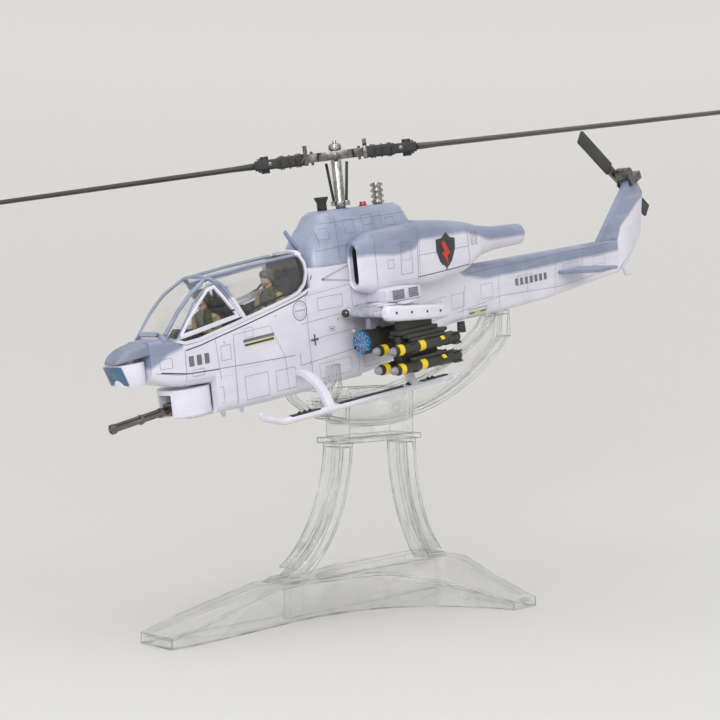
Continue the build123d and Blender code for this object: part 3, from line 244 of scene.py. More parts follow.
HULL = [(110, 22), (97.5, 22.2), (93.8, 24.2), (90, 26.8), (84.4, 28.6), (80, 60), (28, 60),
        (26.5, 47.5), (6, 46), (-20, 45.5), (-44, 42), (-58, 33.4), (-72, 30.6), (-150, 30.8),
        (-172, 31), (-210, 31)]
P = {
    "hull": two_tone("airframe_paint", HULL),
    "nacelle": two_tone("nacelle_paint", [(110, 47.5), (3, 47.5), (-9, 46.4), (-19, 47.2), (-21, 50),
                                          (-48, 50.2), (-58, 48.2), (-66, 45.8), (-90, 45.5),
                                          (-210, 45.5)]),
    "fin": two_tone("fin_paint", [(110, 30), (-150, 30.8), (-170, 31), (-172.1, 33.4), (-176.5, 41.3),
                                  (-195.8, 53), (-210, 60)]),
    "upper": surface("upper_paint", UPPER_LIGHT, UPPER_DARK, rough=(0.3, 0.45), coat=0.15),
    "cowl": surface("cowl_paint", (0.225, 0.26, 0.35), (0.165, 0.195, 0.275), rough=(0.3, 0.45), coat=0.15),
    # Painted light: the fairing gets a lighter copy of the upper blue-grey, for the front light falling on it.
    "fairing": surface("fairing_lit_paint", (0.37, 0.41, 0.55), (0.27, 0.31, 0.44), rough=(0.28, 0.42),
                       coat=0.2),
    "lower": surface("lower_paint", LOWER_LIGHT, LOWER_DARK, rough=(0.3, 0.45), coat=0.15),
    "frame": two_tone("canopy_frame_paint", [(110, 30), (88, 30.5), (80, 33.5), (71, 36), (64, 41),
                                             (58, 42),
                                             (50, 46), (31.5, 49.5), (30, 54), (-210, 60)], 0.5),
    "wing": surface("wing_paint", (0.60, 0.60, 0.67), (0.36, 0.37, 0.43), rough=(0.22, 0.36), metal=0.25,
                    scale=160),
    "acrylic": clear("clear_acrylic", (0.97, 0.975, 0.98), 0.34, 0.01, 0.03),
    # Grey strips on the clear parts' edges: painted reflection and shade.
    "edge": surface("painted_edge_shine", (0.62, 0.63, 0.64), (0.20, 0.205, 0.21), scale=160,
                    rough=(0.05, 0.12), coat=0.8),
    "glass": clear("canopy_clear", (0.96, 0.98, 0.985), 0.10, 0.004, 0.01),
    "black": surface("satin_black", (0.018, 0.019, 0.021), (0.03, 0.031, 0.034), rough=(0.4, 0.6)),
    "cockpit": surface("cockpit_black", (0.03, 0.033, 0.036), (0.055, 0.058, 0.062), rough=(0.55, 0.75)),
    "cushion": surface("seat_cushion", (0.05, 0.052, 0.05), (0.085, 0.085, 0.08), grain=2600, bump=0.4,
                       rough=(0.8, 0.95)),
    "gunmetal": surface("gunmetal", (0.22, 0.20, 0.19), (0.10, 0.09, 0.088), metal=0.85, rough=(0.22, 0.38),
                        stretch=(0.3, 2, 2)),
    "blade": surface("rotor_charcoal", (0.046, 0.045, 0.043), (0.03, 0.029, 0.029), rough=(0.5, 0.65),
                     stretch=(0.3, 0.3, 1)),
    "hub": surface("hub_metal", (0.20, 0.19, 0.185), (0.08, 0.076, 0.074), metal=0.8, rough=(0.25, 0.42),
                   scale=500),
    "steel": surface("turned_steel", (0.50, 0.49, 0.49), (0.26, 0.25, 0.25), metal=1.0, rough=(0.14, 0.3),
                     scale=420),
    "red": surface("beacon_red", (0.50, 0.03, 0.035), (0.36, 0.015, 0.02), rough=(0.08, 0.15), coat=0.6),
    "olive": surface("store_olive", (0.040, 0.045, 0.040), (0.022, 0.026, 0.023), rough=(0.5, 0.65)),
    "missile": surface("missile_black", (0.022, 0.023, 0.019), (0.034, 0.035, 0.028), rough=(0.35, 0.5)),
    "yellow": surface("band_yellow", (0.90, 0.66, 0.015), (0.80, 0.56, 0.01), rough=(0.35, 0.5)),
    "nose": surface("seeker_grey", (0.30, 0.31, 0.32), (0.20, 0.21, 0.22), rough=(0.2, 0.3), coat=0.4),
    "pod_face": surface("pod_face_streaks", (0.03, 0.30, 0.72), (0.012, 0.014, 0.018), rough=(0.35, 0.5),
                        scale=420,
                        stretch=(0.2, 0.35, 1.6)),
    "window": surface("window_blue", (0.03, 0.12, 0.24), (0.015, 0.06, 0.14), rough=(0.06, 0.12), coat=0.8),
    "ink": surface("panel_ink", (0.22, 0.23, 0.27), (0.14, 0.15, 0.18), rough=(0.5, 0.6)),
    "dark_ink": surface("dark_line", (0.035, 0.036, 0.042), (0.06, 0.06, 0.07), rough=(0.5, 0.6)),
    "mark": surface("marking_grey", (0.12, 0.13, 0.15), (0.17, 0.18, 0.20), rough=(0.45, 0.6)),
    "faint": surface("marking_pale", (0.48, 0.49, 0.55), (0.42, 0.43, 0.49), rough=(0.45, 0.6)),
    "straw": surface("marking_straw", (0.62, 0.62, 0.36), (0.52, 0.52, 0.28), rough=(0.45, 0.6)),
    "crimson": surface("marking_red", (0.62, 0.03, 0.02), (0.45, 0.02, 0.015), rough=(0.35, 0.5)),
    "camo": camouflage("vest_camouflage", ((0.035, 0.05, 0.028), (0.10, 0.13, 0.06),
                                           (0.055, 0.075, 0.035))),
    "helmet": surface("helmet_green", (0.045, 0.06, 0.04), (0.07, 0.085, 0.055), rough=(0.4, 0.6),
                      scale=500),
    "suit": camouflage("flight_suit", ((0.30, 0.24, 0.13), (0.42, 0.34, 0.19), (0.20, 0.17, 0.09)), 700),
    "skin": surface("figure_skin", (0.55, 0.34, 0.23), (0.47, 0.27, 0.18), rough=(0.5, 0.65), scale=700),
    "visor": surface("visor_dark", (0.02, 0.02, 0.022), (0.035, 0.035, 0.04), rough=(0.08, 0.15), coat=0.6),
}


# ---------------------------------------------------------------- mesh helpers


def finish_mesh(obj, bevel=0.0, angle=35, cut=None):
    """Applies a cut, a bevel on the sharp edges and smooth shading."""
    if cut:
        layer = obj.modifiers.new("cut", "BOOLEAN")
        layer.object = cut
        layer.operation = "DIFFERENCE"
        layer.solver = "FAST"
    if bevel:
        layer = obj.modifiers.new("edge", "BEVEL")
        layer.width = bevel * MM
        layer.segments = 2
        layer.limit_method = "ANGLE"
        layer.angle_limit = math.radians(angle)
    if obj.modifiers:
        bpy.context.view_layer.update()
        seen = obj.evaluated_get(bpy.context.evaluated_depsgraph_get())
        mesh = bpy.data.meshes.new_from_object(seen)
        obj.modifiers.clear()
        obj.data = mesh
    obj.data.shade_smooth()
    obj.data.set_sharp_from_angle(angle=math.radians(angle))
    return obj


def piece(name, points, faces, paint, body, slot, replaces=(), bevel=0.0, angle=35, kinds=None, paints=(),
          cut=None):
    """A mesh piece from points in millimetres, riding on a body."""
    mesh = bpy.data.meshes.new(name)
    mesh.from_pydata([[c * MM for c in p] for p in points], [], faces)
    for one in (paint, *paints):
        mesh.materials.append(P[one])
    if kinds:
        mesh.polygons.foreach_set("material_index", kinds)
    work = bmesh.new()
    work.from_mesh(mesh)
    bmesh.ops.recalc_face_normals(work, faces=work.faces)
    work.to_mesh(mesh)
    work.free()
    obj = bpy.data.objects.new(name, mesh)
    bpy.context.scene.collection.objects.link(obj)
    mesh.transform(AIRCRAFT)
    finish_mesh(obj, bevel, angle, cut)
    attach(obj, body)
    if replaces:
        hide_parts(*replaces)
    return obj


def merge_flat(work):
    """Joins the triangles of each nearly flat face of a CAD mesh."""
    bmesh.ops.remove_doubles(work, verts=work.verts, dist=2e-6)
    bmesh.ops.dissolve_limit(work, angle_limit=math.radians(1.5), verts=work.verts, edges=work.edges)


def refined(source, paint, slot, bevel):
    """A CAD node's shape again, with rounded edges, as a new piece that replaces it."""
    mesh = NODES[source].data.copy()
    mesh.materials.clear()
    mesh.materials.append(P[paint])
    work = bmesh.new()
    work.from_mesh(mesh)
    merge_flat(work)
    work.to_mesh(mesh)
    work.free()
    for attribute in ("custom_normal", "sharp_edge"):
        if attribute in mesh.attributes:
            mesh.attributes.remove(mesh.attributes[attribute])
    mesh.polygons.foreach_set("material_index", [0] * len(mesh.polygons))
    obj = bpy.data.objects.new(source + "_visual", mesh)
    bpy.context.scene.collection.objects.link(obj)
    finish_mesh(obj, bevel, 32)
    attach(obj, NODES[source]["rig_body"])
    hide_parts(source)
    return obj


class Shape:
    """Collects points and faces of one mesh."""

    def __init__(self):
        self.points = []
        self.faces = []
        self.kinds = []

    def add(self, points, faces, kind=0):
        """Points and faces of one part."""
        start = len(self.points)
        self.points += [tuple(p) for p in points]
        self.faces += [[i + start for i in f] for f in faces]
        self.kinds += [kind] * len(faces)

    def rings(self, rings, kind=0, caps=(True, True), closed=True):
        """Skin through a row of rings."""
        count = len(rings[0])
        points = [p for ring in rings for p in ring]
        faces = []
        for r in range(len(rings) - 1):
            for k in range(count if closed else count - 1):
                a, b = r * count + k, r * count + (k + 1) % count
                faces.append([a, b, b + count, a + count])
        if caps[0]:
            faces.append(list(range(count))[::-1])
        if caps[1]:
            faces.append([len(points) - count + k for k in range(count)])
        self.add(points, faces, kind)

    def tube(self, path, radius, kind=0, sides=10):
        """Round bar along a path; radius is one number or one for each point."""
        radii = radius if isinstance(radius, (list, tuple)) else [radius] * len(path)
        path = [Vector(p) for p in path]
        rings = []
        side = None
        for i, p in enumerate(path):
            along = (path[min(i + 1, len(path) - 1)] - path[max(i - 1, 0)]).normalized()
            if side is None:
                side = along.orthogonal().normalized()
            side = (side - along * side.dot(along)).normalized()
            other = along.cross(side)
            turns = spun(sides)
            rings.append([p + (side * math.cos(t) + other * math.sin(t)) * radii[i] for t in turns])
        self.rings(rings, kind)

    def box(self, centre, size, kind=0, turn=None):
        """Box, turned about its centre if asked."""
        corners = [Vector((sx * size[0], sy * size[1], sz * size[2])) * 0.5
                   for sx in (-1, 1) for sy in (-1, 1) for sz in (-1, 1)]
        if turn is not None:
            corners = [turn @ c for c in corners]
        corners = [c + Vector(centre) for c in corners]
        faces = [[0, 1, 3, 2], [4, 6, 7, 5], [0, 4, 5, 1], [2, 3, 7, 6], [0, 2, 6, 4], [1, 5, 7, 3]]
        self.add(corners, faces, kind)

    def ball(self, centre, radii, kind=0, across=14, turn=None, warp=None):
        """Rounded form; warp changes each unit direction before it is scaled."""
        rings = []
        for i in range(1, across):
            tilt = math.pi * i / across
            ring = []
            for k in range(across * 2):
                turn_angle = math.pi * k / across
                d = Vector((math.sin(tilt) * math.cos(turn_angle), math.sin(tilt) * math.sin(turn_angle),
                            math.cos(tilt)))
                if warp:
                    d = warp(d)
                q = Vector((d.x * radii[0], d.y * radii[1], d.z * radii[2]))
                if turn is not None:
                    q = turn @ q
                ring.append(q + Vector(centre))
            rings.append(ring)
        self.rings(rings, kind)

    def lathe(self, profile, sides=28, centre=(0, 0, 0), axis="X"):
        """Turned form; profile rows are (along, radius, kind of the face that ends there)."""
        rings = []
        for along, radius, _ in profile:
            ring = []
            for k in range(sides):
                t = 2 * math.pi * k / sides
                u, v = radius * math.cos(t), radius * math.sin(t)
                spot = {"X": (along, u, v), "Z": (u, v, along), "Y": (u, along, v)}[axis]
                ring.append(Vector(spot) + Vector(centre))
            rings.append(ring)
        for i in range(len(rings) - 1):
            self.rings(rings[i:i + 2], profile[i + 1][2], (i == 0, i == len(rings) - 2))

    def mirror(self):
        """Adds the other side of the fuselage."""
        points = [(p[0], -p[1], p[2]) for p in self.points]
        start = len(self.points)
        self.points += points
        self.faces += [[i + start for i in f][::-1] for f in self.faces]
        self.kinds += self.kinds
        return self

    def piece(self, name, paint, body, slot, **rest):
        """Makes the piece."""
        return piece(name, self.points, self.faces, paint, body, slot, kinds=self.kinds, **rest)


def curve_value(xs, ys, x):
    """Smooth curve through the points with no overshoot; xs rise."""
    if x <= xs[0]:
        return ys[0]
    if x >= xs[-1]:
        return ys[-1]
    i = bisect.bisect_right(xs, x) - 1
    slopes = [(ys[k + 1] - ys[k]) / (xs[k + 1] - xs[k]) for k in range(len(xs) - 1)]

    def tangent(k):
        if k == 0:
            return slopes[0]
        if k == len(xs) - 1:
            return slopes[-1]
        a, b = slopes[k - 1], slopes[k]
        return 0.0 if a * b <= 0 else 2 * a * b / (a + b)

    step = xs[i + 1] - xs[i]
    t = (x - xs[i]) / step
    return ((2 * t ** 3 - 3 * t ** 2 + 1) * ys[i] + (t ** 3 - 2 * t ** 2 + t) * step * tangent(i)
            + (3 * t ** 2 - 2 * t ** 3) * ys[i + 1] + (t ** 3 - t ** 2) * step * tangent(i + 1))


def blend_table(table, x):
    """Row of a table of stations, blended at x."""
    rows = sorted(table)
    xs = [r[0] for r in rows]
    return [curve_value(xs, [r[c] for r in rows], x) for c in range(1, len(rows[0]))]


def frange(low, high, step, extra=()):
    """Even steps between two numbers, with extra ones added."""
    count = max(1, round((high - low) / step))
    return sorted({round(low + (high - low) * k / count, 4) for k in range(count + 1)} | set(extra))


def outline(left, right, bottom, top, lower, upper, open_at=0.9):
    """Rounded box outline as (side, height) points, from the keel round by port."""
    mid, half = (left + right) / 2, (right - left) / 2
    points = []
    flat = half - lower
    points += [(flat * k / 4, bottom) for k in range(5)]
    points += [(flat + lower * math.sin(a), bottom + lower * (1 - math.cos(a)))
               for a in [math.pi / 2 * k / 6 for k in range(1, 7)]]
    low, high = bottom + lower, top - upper
    points += [(half, low + (high - low) * k / 6) for k in range(1, 7)]
    points += [(half - upper * (1 - math.cos(a)), high + upper * math.sin(a))
               for a in [math.pi / 2 * k / 5 for k in range(1, 6)]]
    wide = half - upper
    points += [(wide * open_at, top), (wide * open_at * 0.5, top), (0, top)]
    back = [(-y, z) for y, z in points[1:-1]][::-1]
    return [(mid + y, z) for y, z in points + back]


# ---------------------------------------------------------------- fuselage and boom

NOSE = ((95.2, 19.4, 31.6, 5.4, 2.6), (88.5, 17.0, 31.6, 7.6, 3.2), (84, 16.2, 29, 8.8, 3.6),
        (78, 15.8, 29.5, 9.2, 3.8), (73.8, 15.6, 30.29, 9.32, 3.8))
BODY = ((73.8, 5.9, 30.29, 9.32, 3.6), (71, 5.8, 30.8, 9.4, 3.6), (61, 5.4, 32.6, 9.6, 3.6),
        (50.4, 5.3, 34.6, 9.6, 3.6), (36, 5.4, 37.4, 9.5, 3.6), (28.6, 5.6, 39.6, 9.5, 3.6))
REAR = ((28.6, 5.6, 46, 9.5, 3.6), (0, 7, 46, 9.5, 3.8), (-20, 10, 46, 9, 4), (-44, 15.6, 44, 7.4, 4))
BOOM = ((-44, 15.6, 44, 7.4, 4), (-58, 16.5, 39, 5.6, 3.2), (-74, 16.5, 36.6, 4.9, 2.8),
        (-109, 17, 36.5, 4, 2.4),
        (-130, 18.4, 36.5, 3.4, 2.2), (-154, 20.2, 36.5, 2.8, 1.8), (-172, 21.6, 36, 2, 1.4))


def hull_rings(table, xs, upper):
    """Cross sections of the hull along a table of stations."""
    rings = []
    for x in xs:
        bottom, top, half, lower = blend_table(table, x)
        rounding = upper if not callable(upper) else upper(x)
        rings.append([(x, y, z) for y, z in outline(-half, half, bottom, top, lower,
                                                    min(rounding, half * 0.8))])
    return rings


nose_rings = hull_rings(NOSE, frange(73.8, 95.2, 1.6, (82.5,)), lambda x: 0.5 + max(0, x - 84) * 0.09)
body_rings = hull_rings(BODY, frange(28.6, 73.8, 2.2, (31.0,)), 0.5)
rear_rings = hull_rings(REAR, frange(-44, 28.6, 2.4), lambda x: 0.8 + max(0, -x - 10) * 0.06)
boom_rings = hull_rings(BOOM, frange(-172, -44, 3.0), lambda x: 2.8 - max(0, -x - 130) * 0.03)

hull = Shape()
hull.rings(rear_rings + body_rings + nose_rings)


def over_cockpit(face):
    """Whether a face closes the cockpit's open top."""
    spots = [hull.points[i] for i in face]
    along = sum(s[0] for s in spots) / len(spots)
    flat = all(abs(s[1]) < 8.35 for s in spots)
    sill = all(s[2] > 28.9 for s in spots)
    return flat and sill and 31 < along < 82.5 and len(face) == 4


hull.faces = [f for f in hull.faces if not over_cockpit(f)]
hull.kinds = [0] * len(hull.faces)

# Round well in the chin for the gun turret's neck, open to the front.
well = Shape()
well.lathe([(4.0, 8.75, 0), (15.3, 8.75, 0)], 48, (79.5, 0, 0), "Z")
cutter_mesh = bpy.data.meshes.new("turret_well")
cutter_mesh.from_pydata([AIRCRAFT @ (Vector(p) * MM) for p in well.points], [], well.faces)
cutter = bpy.data.objects.new("turret_well", cutter_mesh)
bpy.context.scene.collection.objects.link(cutter)
fuselage = hull.piece("fuselage_skin", "hull", "aircraft", "lower_grey", replaces=("fuselage",), bevel=0.22,
                      angle=38, cut=cutter)
bpy.data.objects.remove(cutter)

boom = Shape()
boom.rings(boom_rings)
tail = boom.piece("boom_skin", "hull", "aircraft", "lower_grey", replaces=("tail_boom",))

# Cockpit tub: floor, side consoles and bulkheads inside the open top.
tub = Shape()
tub_rings = []
for x in frange(31, 82.4, 2.6):
    sill = blend_table(BODY if x < 73.8 else NOSE, x)[1]
    floor = 19.5 if x < 73.8 else 20.5
    half = 7.9
    tub_rings.append([(x, y, z) for y, z in ((-half, sill), (-half, floor + 7), (-half + 2.4, floor + 7),
                                             (-half + 2.6, floor), (half - 2.6, floor), (half - 2.4,
                                                                                         floor + 7),
                                             (half, floor + 7), (half, sill))])
tub.rings(tub_rings, closed=False, caps=(False, False))
for end in (0, -1):
    tub.add(tub_rings[end], [list(range(8))])
for x in frange(33, 73, 4.4):
    for side in SIDES:
        tub.box((x, side * 6.6, 26.9), (3.2, 1.6, 0.9))
        for k in range(3):
            tub.box((x - 1 + k, side * 6.6, 27.5), (0.5, 0.5, 0.6))
tub.piece("cockpit_tub", "cockpit", "aircraft", "cockpit_black")

# ---------------------------------------------------------------- transmission fairing and engine deck

FAIRING = ((46, 25, -34, 9.3, 4), (52.3, 23.6, -32, 8.4, 5), (59.5, 18.6, -28.8, 6.8, 5),
           (62.6, 16.4, -27.2, 5.8, 4.6), (63.9, 14, -25.6, 4.2, 3.6))


def oval(front, back, half, corner, steps=9):
    """Rounded rectangle seen from above."""
    corner = min(corner, half - 0.05)
    spots = []
    for cx, cy, start in ((front - corner, half - corner, 0), (back + corner, half - corner, 90),
                          (back + corner, corner - half, 180), (front - corner, corner - half, 270)):
        for k in range(steps + 1):
            a = math.radians(start + 90 * k / steps)
            spots.append((cx + corner * math.cos(a), cy + corner * math.sin(a)))
    return spots


fairing = Shape()
rows = []
for z in frange(46, 63.9, 0.9):
    front, back, half, corner = blend_table(FAIRING, z)
    rows.append([(x, y, z) for x, y in oval(front, back, half, corner)])
fairing.rings(rows)
fairing_obj = fairing.piece("transmission_fairing", "fairing", "aircraft", "upper_grey",
                            replaces=("pylon_fairing",),
                            bevel=0.5, angle=30)

SPINE = ((-29, 42, 57, 8.6, 3.5), (-50, 41, 55, 6, 3.5), (-66, 40.5, 52.2, 3.6, 2.6),
         (-74, 41.5, 51, 2.6, 2))
spine = Shape()
rows = []
for x in frange(-74, -29, 2.2):
    bottom, top, half, corner = blend_table(SPINE, x)
    rows.append([(x, y, z) for y, z in outline(-half, half, bottom, top, min(1.5, corner), corner)])
spine.rings(rows)
spine.piece("engine_spine_skin", "upper", "aircraft", "upper_grey", replaces=("engine_spine",), bevel=0.3)

NACELLE = ((7, 8.2, 15.2, 35.4, 53.4, 3.4), (1, 7.6, 16, 34, 55.4, 3.8), (-28, 7, 16.2, 33.8, 56.5, 4.4),
           (-48, 5, 15.4, 35.5, 54.8, 4.8), (-60, 3.4, 13.4, 39, 52.6, 4.6))


def nacelle_ring(x, grow=0.0):
    """Cross section of an engine pod."""
    inner, outer, bottom, top, corner = blend_table(NACELLE, x)
    spots = outline(inner - grow, outer + grow, bottom - grow, top + grow, corner + grow * 0.5,
                    corner + grow * 0.5)
    return [(x, y, z) for y, z in spots]


nacelle_objects = {}
for side, label in ((1, "port"), (-1, "starboard")):
    shell = Shape()
    rows = [nacelle_ring(x) for x in frange(-60, 6.6, 2.2)]
    lip = [[(x, y, z) for _, y, z in nacelle_ring(7, grow)]
           for x, grow in ((7.9, -0.15), (8.9, -0.7), (9.4, -1.25), (9.0, -1.8), (7.6, -2.1))]
    duct = [[(x, y, z) for _, y, z in nacelle_ring(7, grow)] for x, grow in ((4.5, -2.3), (-2.5, -2.7))]
    shell.rings(rows + lip + duct)
    shell.kinds = [0] * len(shell.faces)
    count = len(rows[0])
    first_duct = (len(rows) + len(lip) - 1) * count
    for i, face in enumerate(shell.faces):
        if min(face) >= first_duct - 1:
            shell.kinds[i] = 1
    if side < 0:
        shell.points = [(x, -y, z) for x, y, z in shell.points]
    nacelle_objects[side] = shell.piece(
        "nacelle_skin_" + label, "nacelle", "aircraft", "lower_grey", paints=("black",),
        replaces=("nacelle_" + label,) + (("engine_intakes",) if side > 0 else ()), angle=40)

exhaust = Shape()
EXHAUST = ((-58, 5.1, 6.0), (-62, 5.0, 5.9), (-68, 4.7, 5.2), (-74, 4.45, 4.5), (-80, 4.3, 4.3),
           (-90, 4.0, 4.0))
rows = []
for x in frange(-90, -58, 1.6):
    wide, tall = blend_table(EXHAUST, x)
    rows.append([(x, 8.2 + wide * math.cos(t), 46 + tall * math.sin(t)) for t in
                 spun(32)])
inside = [[(x, 8.2 + r * math.cos(t), 46 + r * math.sin(t)) for t in spun(32)]
          for x, r in ((-78, 2.9), (-80, 3.15), (-89.7, 3.35))]
exhaust.rings(inside + rows)
exhaust.kinds = [1 if max(f) < 3 * 32 else 0 for f in exhaust.faces]
exhaust.mirror()
exhaust.piece("exhaust_pipes", "nacelle", "aircraft", "lower_grey", paints=("black",),
              replaces=("exhausts",), bevel=0.12, angle=50)

# ---------------------------------------------------------------- nose cowl and boss

COWL = ((95.2, 5.4, 27.6, 31.6), (100.5, 5, 27.2, 30.6), (104.6, 3.9, 26.6, 28.9), (106.2, 2.8, 26.3, 27.3))
cowl = Shape()
rows = []
for x in frange(95.0, 106.2, 0.8):
    half, bottom, top = blend_table(COWL, x)
    tall = top - bottom
    rows.append([(x, y, z) for y, z in outline(-half, half, bottom, top, min(0.5, tall * 0.3),
                                               min(2.4, tall * 0.65))])
cowl.rings(rows)
cowl.piece("nose_cowl_skin", "cowl", "aircraft", "upper_grey", replaces=("nose_cowl",), bevel=0.3)

# ---------------------------------------------------------------- CAD shapes with rounded edges

for source, paint, slot, bevel in (
        ("stand_base", "acrylic", "clear_acrylic", 0.35), ("stand_column", "acrylic", "clear_acrylic",
                                                           0.35),
        ("stand_saddle", "acrylic", "clear_acrylic", 0.25), ("clamp_knob", "acrylic", "clear_acrylic", 0.2),
        ("arc_rail", "acrylic", "clear_acrylic", 0.2), ("front_yoke", "acrylic", "clear_acrylic", 0.25)):
    refined(source, paint, slot, bevel)


def painted_edge_lines(source, body_name):
    """Thin bright strips just inside a clear part's sharp edges: painted reflection and shade for the light
    that the clear plastic's edges bend.
    """
    work = bmesh.new()
    work.from_mesh(NODES[source].data)
    merge_flat(work)
    strips = Shape()
    for edge in work.edges:
        if len(edge.link_faces) != 2 or edge.calc_length() < 0.0012:
            continue
        if edge.calc_face_angle(0) < math.radians(38):
            continue
        inward = -(edge.link_faces[0].normal + edge.link_faces[1].normal).normalized() * 0.00022
        ends = [TO_AIRCRAFT @ (v.co + inward) / MM for v in edge.verts]
        if (ends[0] - ends[1]).length > 1.0:
            strips.tube(ends, 0.13, 0, 5)
    work.free()
    strips.piece(source + "_edges", "edge", body_name, "clear_acrylic", angle=60)


for source in ("stand_base", "stand_column", "stand_saddle", "arc_rail", "front_yoke"):
    painted_edge_lines(source, NODES[source]["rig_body"])

for source, paint, slot, bevel in (
        ("tail_fin", "fin", "upper_grey", 0.5), ("tail_skid", "lower", "skid_grey", 0.25),
        ("tailplane", "upper", "lower_grey", 0.35), ("air_scoop", "black", "black_paint", 0.15),
        ("beacon", "red", "beacon_red", 0.2), ("infrared_jammer", "steel", "chrome", 0.12),
        ("instrument_panels", "cockpit", "cockpit_black", 0.3), ("sensor_turret", "lower", "lower_grey",
                                                                 0.35),
        ("sensor_window", "window", "window_blue", 0.15), ("gun_turret", "lower", "lower_grey", 0.9),
        ("gun_cradle", "gunmetal", "gunmetal", 0.2), ("gun_barrels", "gunmetal", "gunmetal", 0.08),
        ("rocket_pods", "olive", "pod_olive", 0.15),
        ("pod_faces", "pod_face", "pod_face", 0.06), ("missile_launchers", "olive", "pod_olive", 0.2),
        ("skid_port", "lower", "skid_grey", 0.1), ("skid_starboard", "lower", "skid_grey", 0.1),
        ("cross_tube_front", "lower", "skid_grey", 0.2), ("cross_tube_rear", "lower", "skid_grey", 0.2),
        ("tail_gearbox", "hub", "hub_metal", 0.25), ("mast", "steel", "mast_steel", 0.15),
        ("pitch_links", "black", "black_paint", 0.08), ("rotor_yoke", "hub", "hub_metal", 0.3),
        ("blade_grips", "black", "black_paint", 0.25), ("rotor_horns", "gunmetal", "hub_metal", 0.12),
        ("main_blade_a", "blade", "rotor_charcoal", 0.1), ("main_blade_b", "blade", "rotor_charcoal", 0.1),
        ("tail_rotor_hub", "hub", "hub_metal", 0.15), ("tail_rotor_blades", "blade", "rotor_charcoal",
                                                       0.12)):
    refined(source, paint, slot, bevel)

# ---------------------------------------------------------------- canopy

CANOPY = ((91.4, 31.0, 31.6, 6.6), (88.5, 31.2, 35.4, 7.6), (84, 29, 40.6, 8.8), (78, 29.5, 45.6, 9.2),
          (71, 30.8, 48.4, 9.4), (61, 32.6, 49.6, 9.6), (50.4, 34.6, 50.6, 9.6), (36, 37.4, 51.8, 9.5),
          (28.6, 39.6, 52.2, 9.3), (27.3, 40.2, 52.3, 9.2))
GUNNER_DOOR = ((85.6, 31.6), (82.0, 36.0), (77.4, 40.6), (71.8, 44.8), (68.6, 45.4), (61.6, 35.0))
PILOT_DOOR = ((58.8, 36.0), (64.6, 46.0), (31.9, 48.6), (31.9, 39.8))
ARC = [math.radians(a) for a in (0, 3, 6, 9, 12, 15, 18, 21, 24, 27, 30, 33, 36, 39, 42, 45, 48, 51, 54,
                                 57, 60, 63, 66,
                                 69, 72, 75, 78, 80.5, 83, 85, 87, 88.4, 89.4, 90)]


def canopy_spot(x, z, side, inward=0.0):
    """Point of the canopy's surface at a station and height."""
    sill, top, half = blend_table(CANOPY, x)
    share = min(1.0, max(0.0, (z - sill) / (top - sill)))
    return Vector((x, side * (half - inward) * (1 - share ** 2) ** 0.225,
                   sill + (top - inward - sill) * share))


def canopy_row(x, inward=0.0):
    """One arch of the canopy, from the port sill over to the starboard sill."""
    sill, top, _ = blend_table(CANOPY, x)
    row = [canopy_spot(x, sill + (top - sill) * math.sin(a), 1, inward) for a in ARC]
    return row + [Vector((p.x, -p.y, p.z)) for p in row[-2::-1]]


def within(points, x, z):
    """Whether a point lies inside an outline."""
    inside = False
    for (xa, za), (xb, zb) in zip(points, points[1:] + points[:1]):
        if (za > z) != (zb > z) and x < (xb - xa) * (z - za) / (zb - za) + xa:
            inside = not inside
    return inside


canopy_xs = frange(27.4, 91.2, 0.8)
outer_rows = [canopy_row(x) for x in canopy_xs]
inner_rows = [canopy_row(x, 0.45) for x in canopy_xs]
canopy_form = Shape()
canopy_form.rings(outer_rows, closed=False, caps=(False, False))
CANOPY_TREE = BVHTree.FromPolygons(canopy_form.points, canopy_form.faces)


def pane(name, body, keep, replaces):
    """One sheet of the canopy: the cells that keep() picks, with real thickness and closed edges."""
    count = len(outer_rows[0])
    chosen = {}
    for r in range(len(canopy_xs) - 1):
        for k in range(count - 1):
            cell = [outer_rows[r][k], outer_rows[r][k + 1], outer_rows[r + 1][k + 1], outer_rows[r + 1][k]]
            middle = sum(cell, Vector()) / 4
            if keep(middle):
                chosen[(r, k)] = True
    shape = Shape()
    shape.points = [tuple(p) for rows in (outer_rows, inner_rows) for row in rows for p in row]
    half = len(outer_rows) * count

    def index(r, k):
        return r * count + k

    for r, k in chosen:
        face = [index(r, k), index(r, k + 1), index(r + 1, k + 1), index(r + 1, k)]
        shape.faces.append(face)
        shape.faces.append([i + half for i in face[::-1]])
        for (dr, dk), edge in (((0, -1), (0, 3)), ((0, 1), (1, 2)), ((-1, 0), (0, 1)), ((1, 0), (3, 2))):
            if (r + dr, k + dk) not in chosen:
                a, b = face[edge[0]], face[edge[1]]
                shape.faces.append([a, b, b + half, a + half])
    used = sorted({i for face in shape.faces for i in face})
    order = {old: new for new, old in enumerate(used)}
    shape.points = [shape.points[i] for i in used]
    shape.faces = [[order[i] for i in face] for face in shape.faces]
    shape.kinds = [0] * len(shape.faces)
    return shape.piece(name, "glass", body, "canopy_clear", replaces=replaces, angle=50)


def in_gunner_door(p):
    """Whether a point is in the port door's window."""
    return p.y > 1 and within(GUNNER_DOOR, p.x, p.z)


def in_pilot_door(p):
    """Whether a point is in the starboard door's window."""
    return p.y < -1 and within(PILOT_DOOR, p.x, p.z)


pane("canopy_panes", "aircraft", lambda p: not in_gunner_door(p) and not in_pilot_door(p) and p.x > 29,
     ("canopy_glass",))
pane("gunner_door_pane", "left_door", in_gunner_door, ("gunner_door_glass",))
pane("pilot_door_pane", "right_door", in_pilot_door, ("pilot_door_glass",))


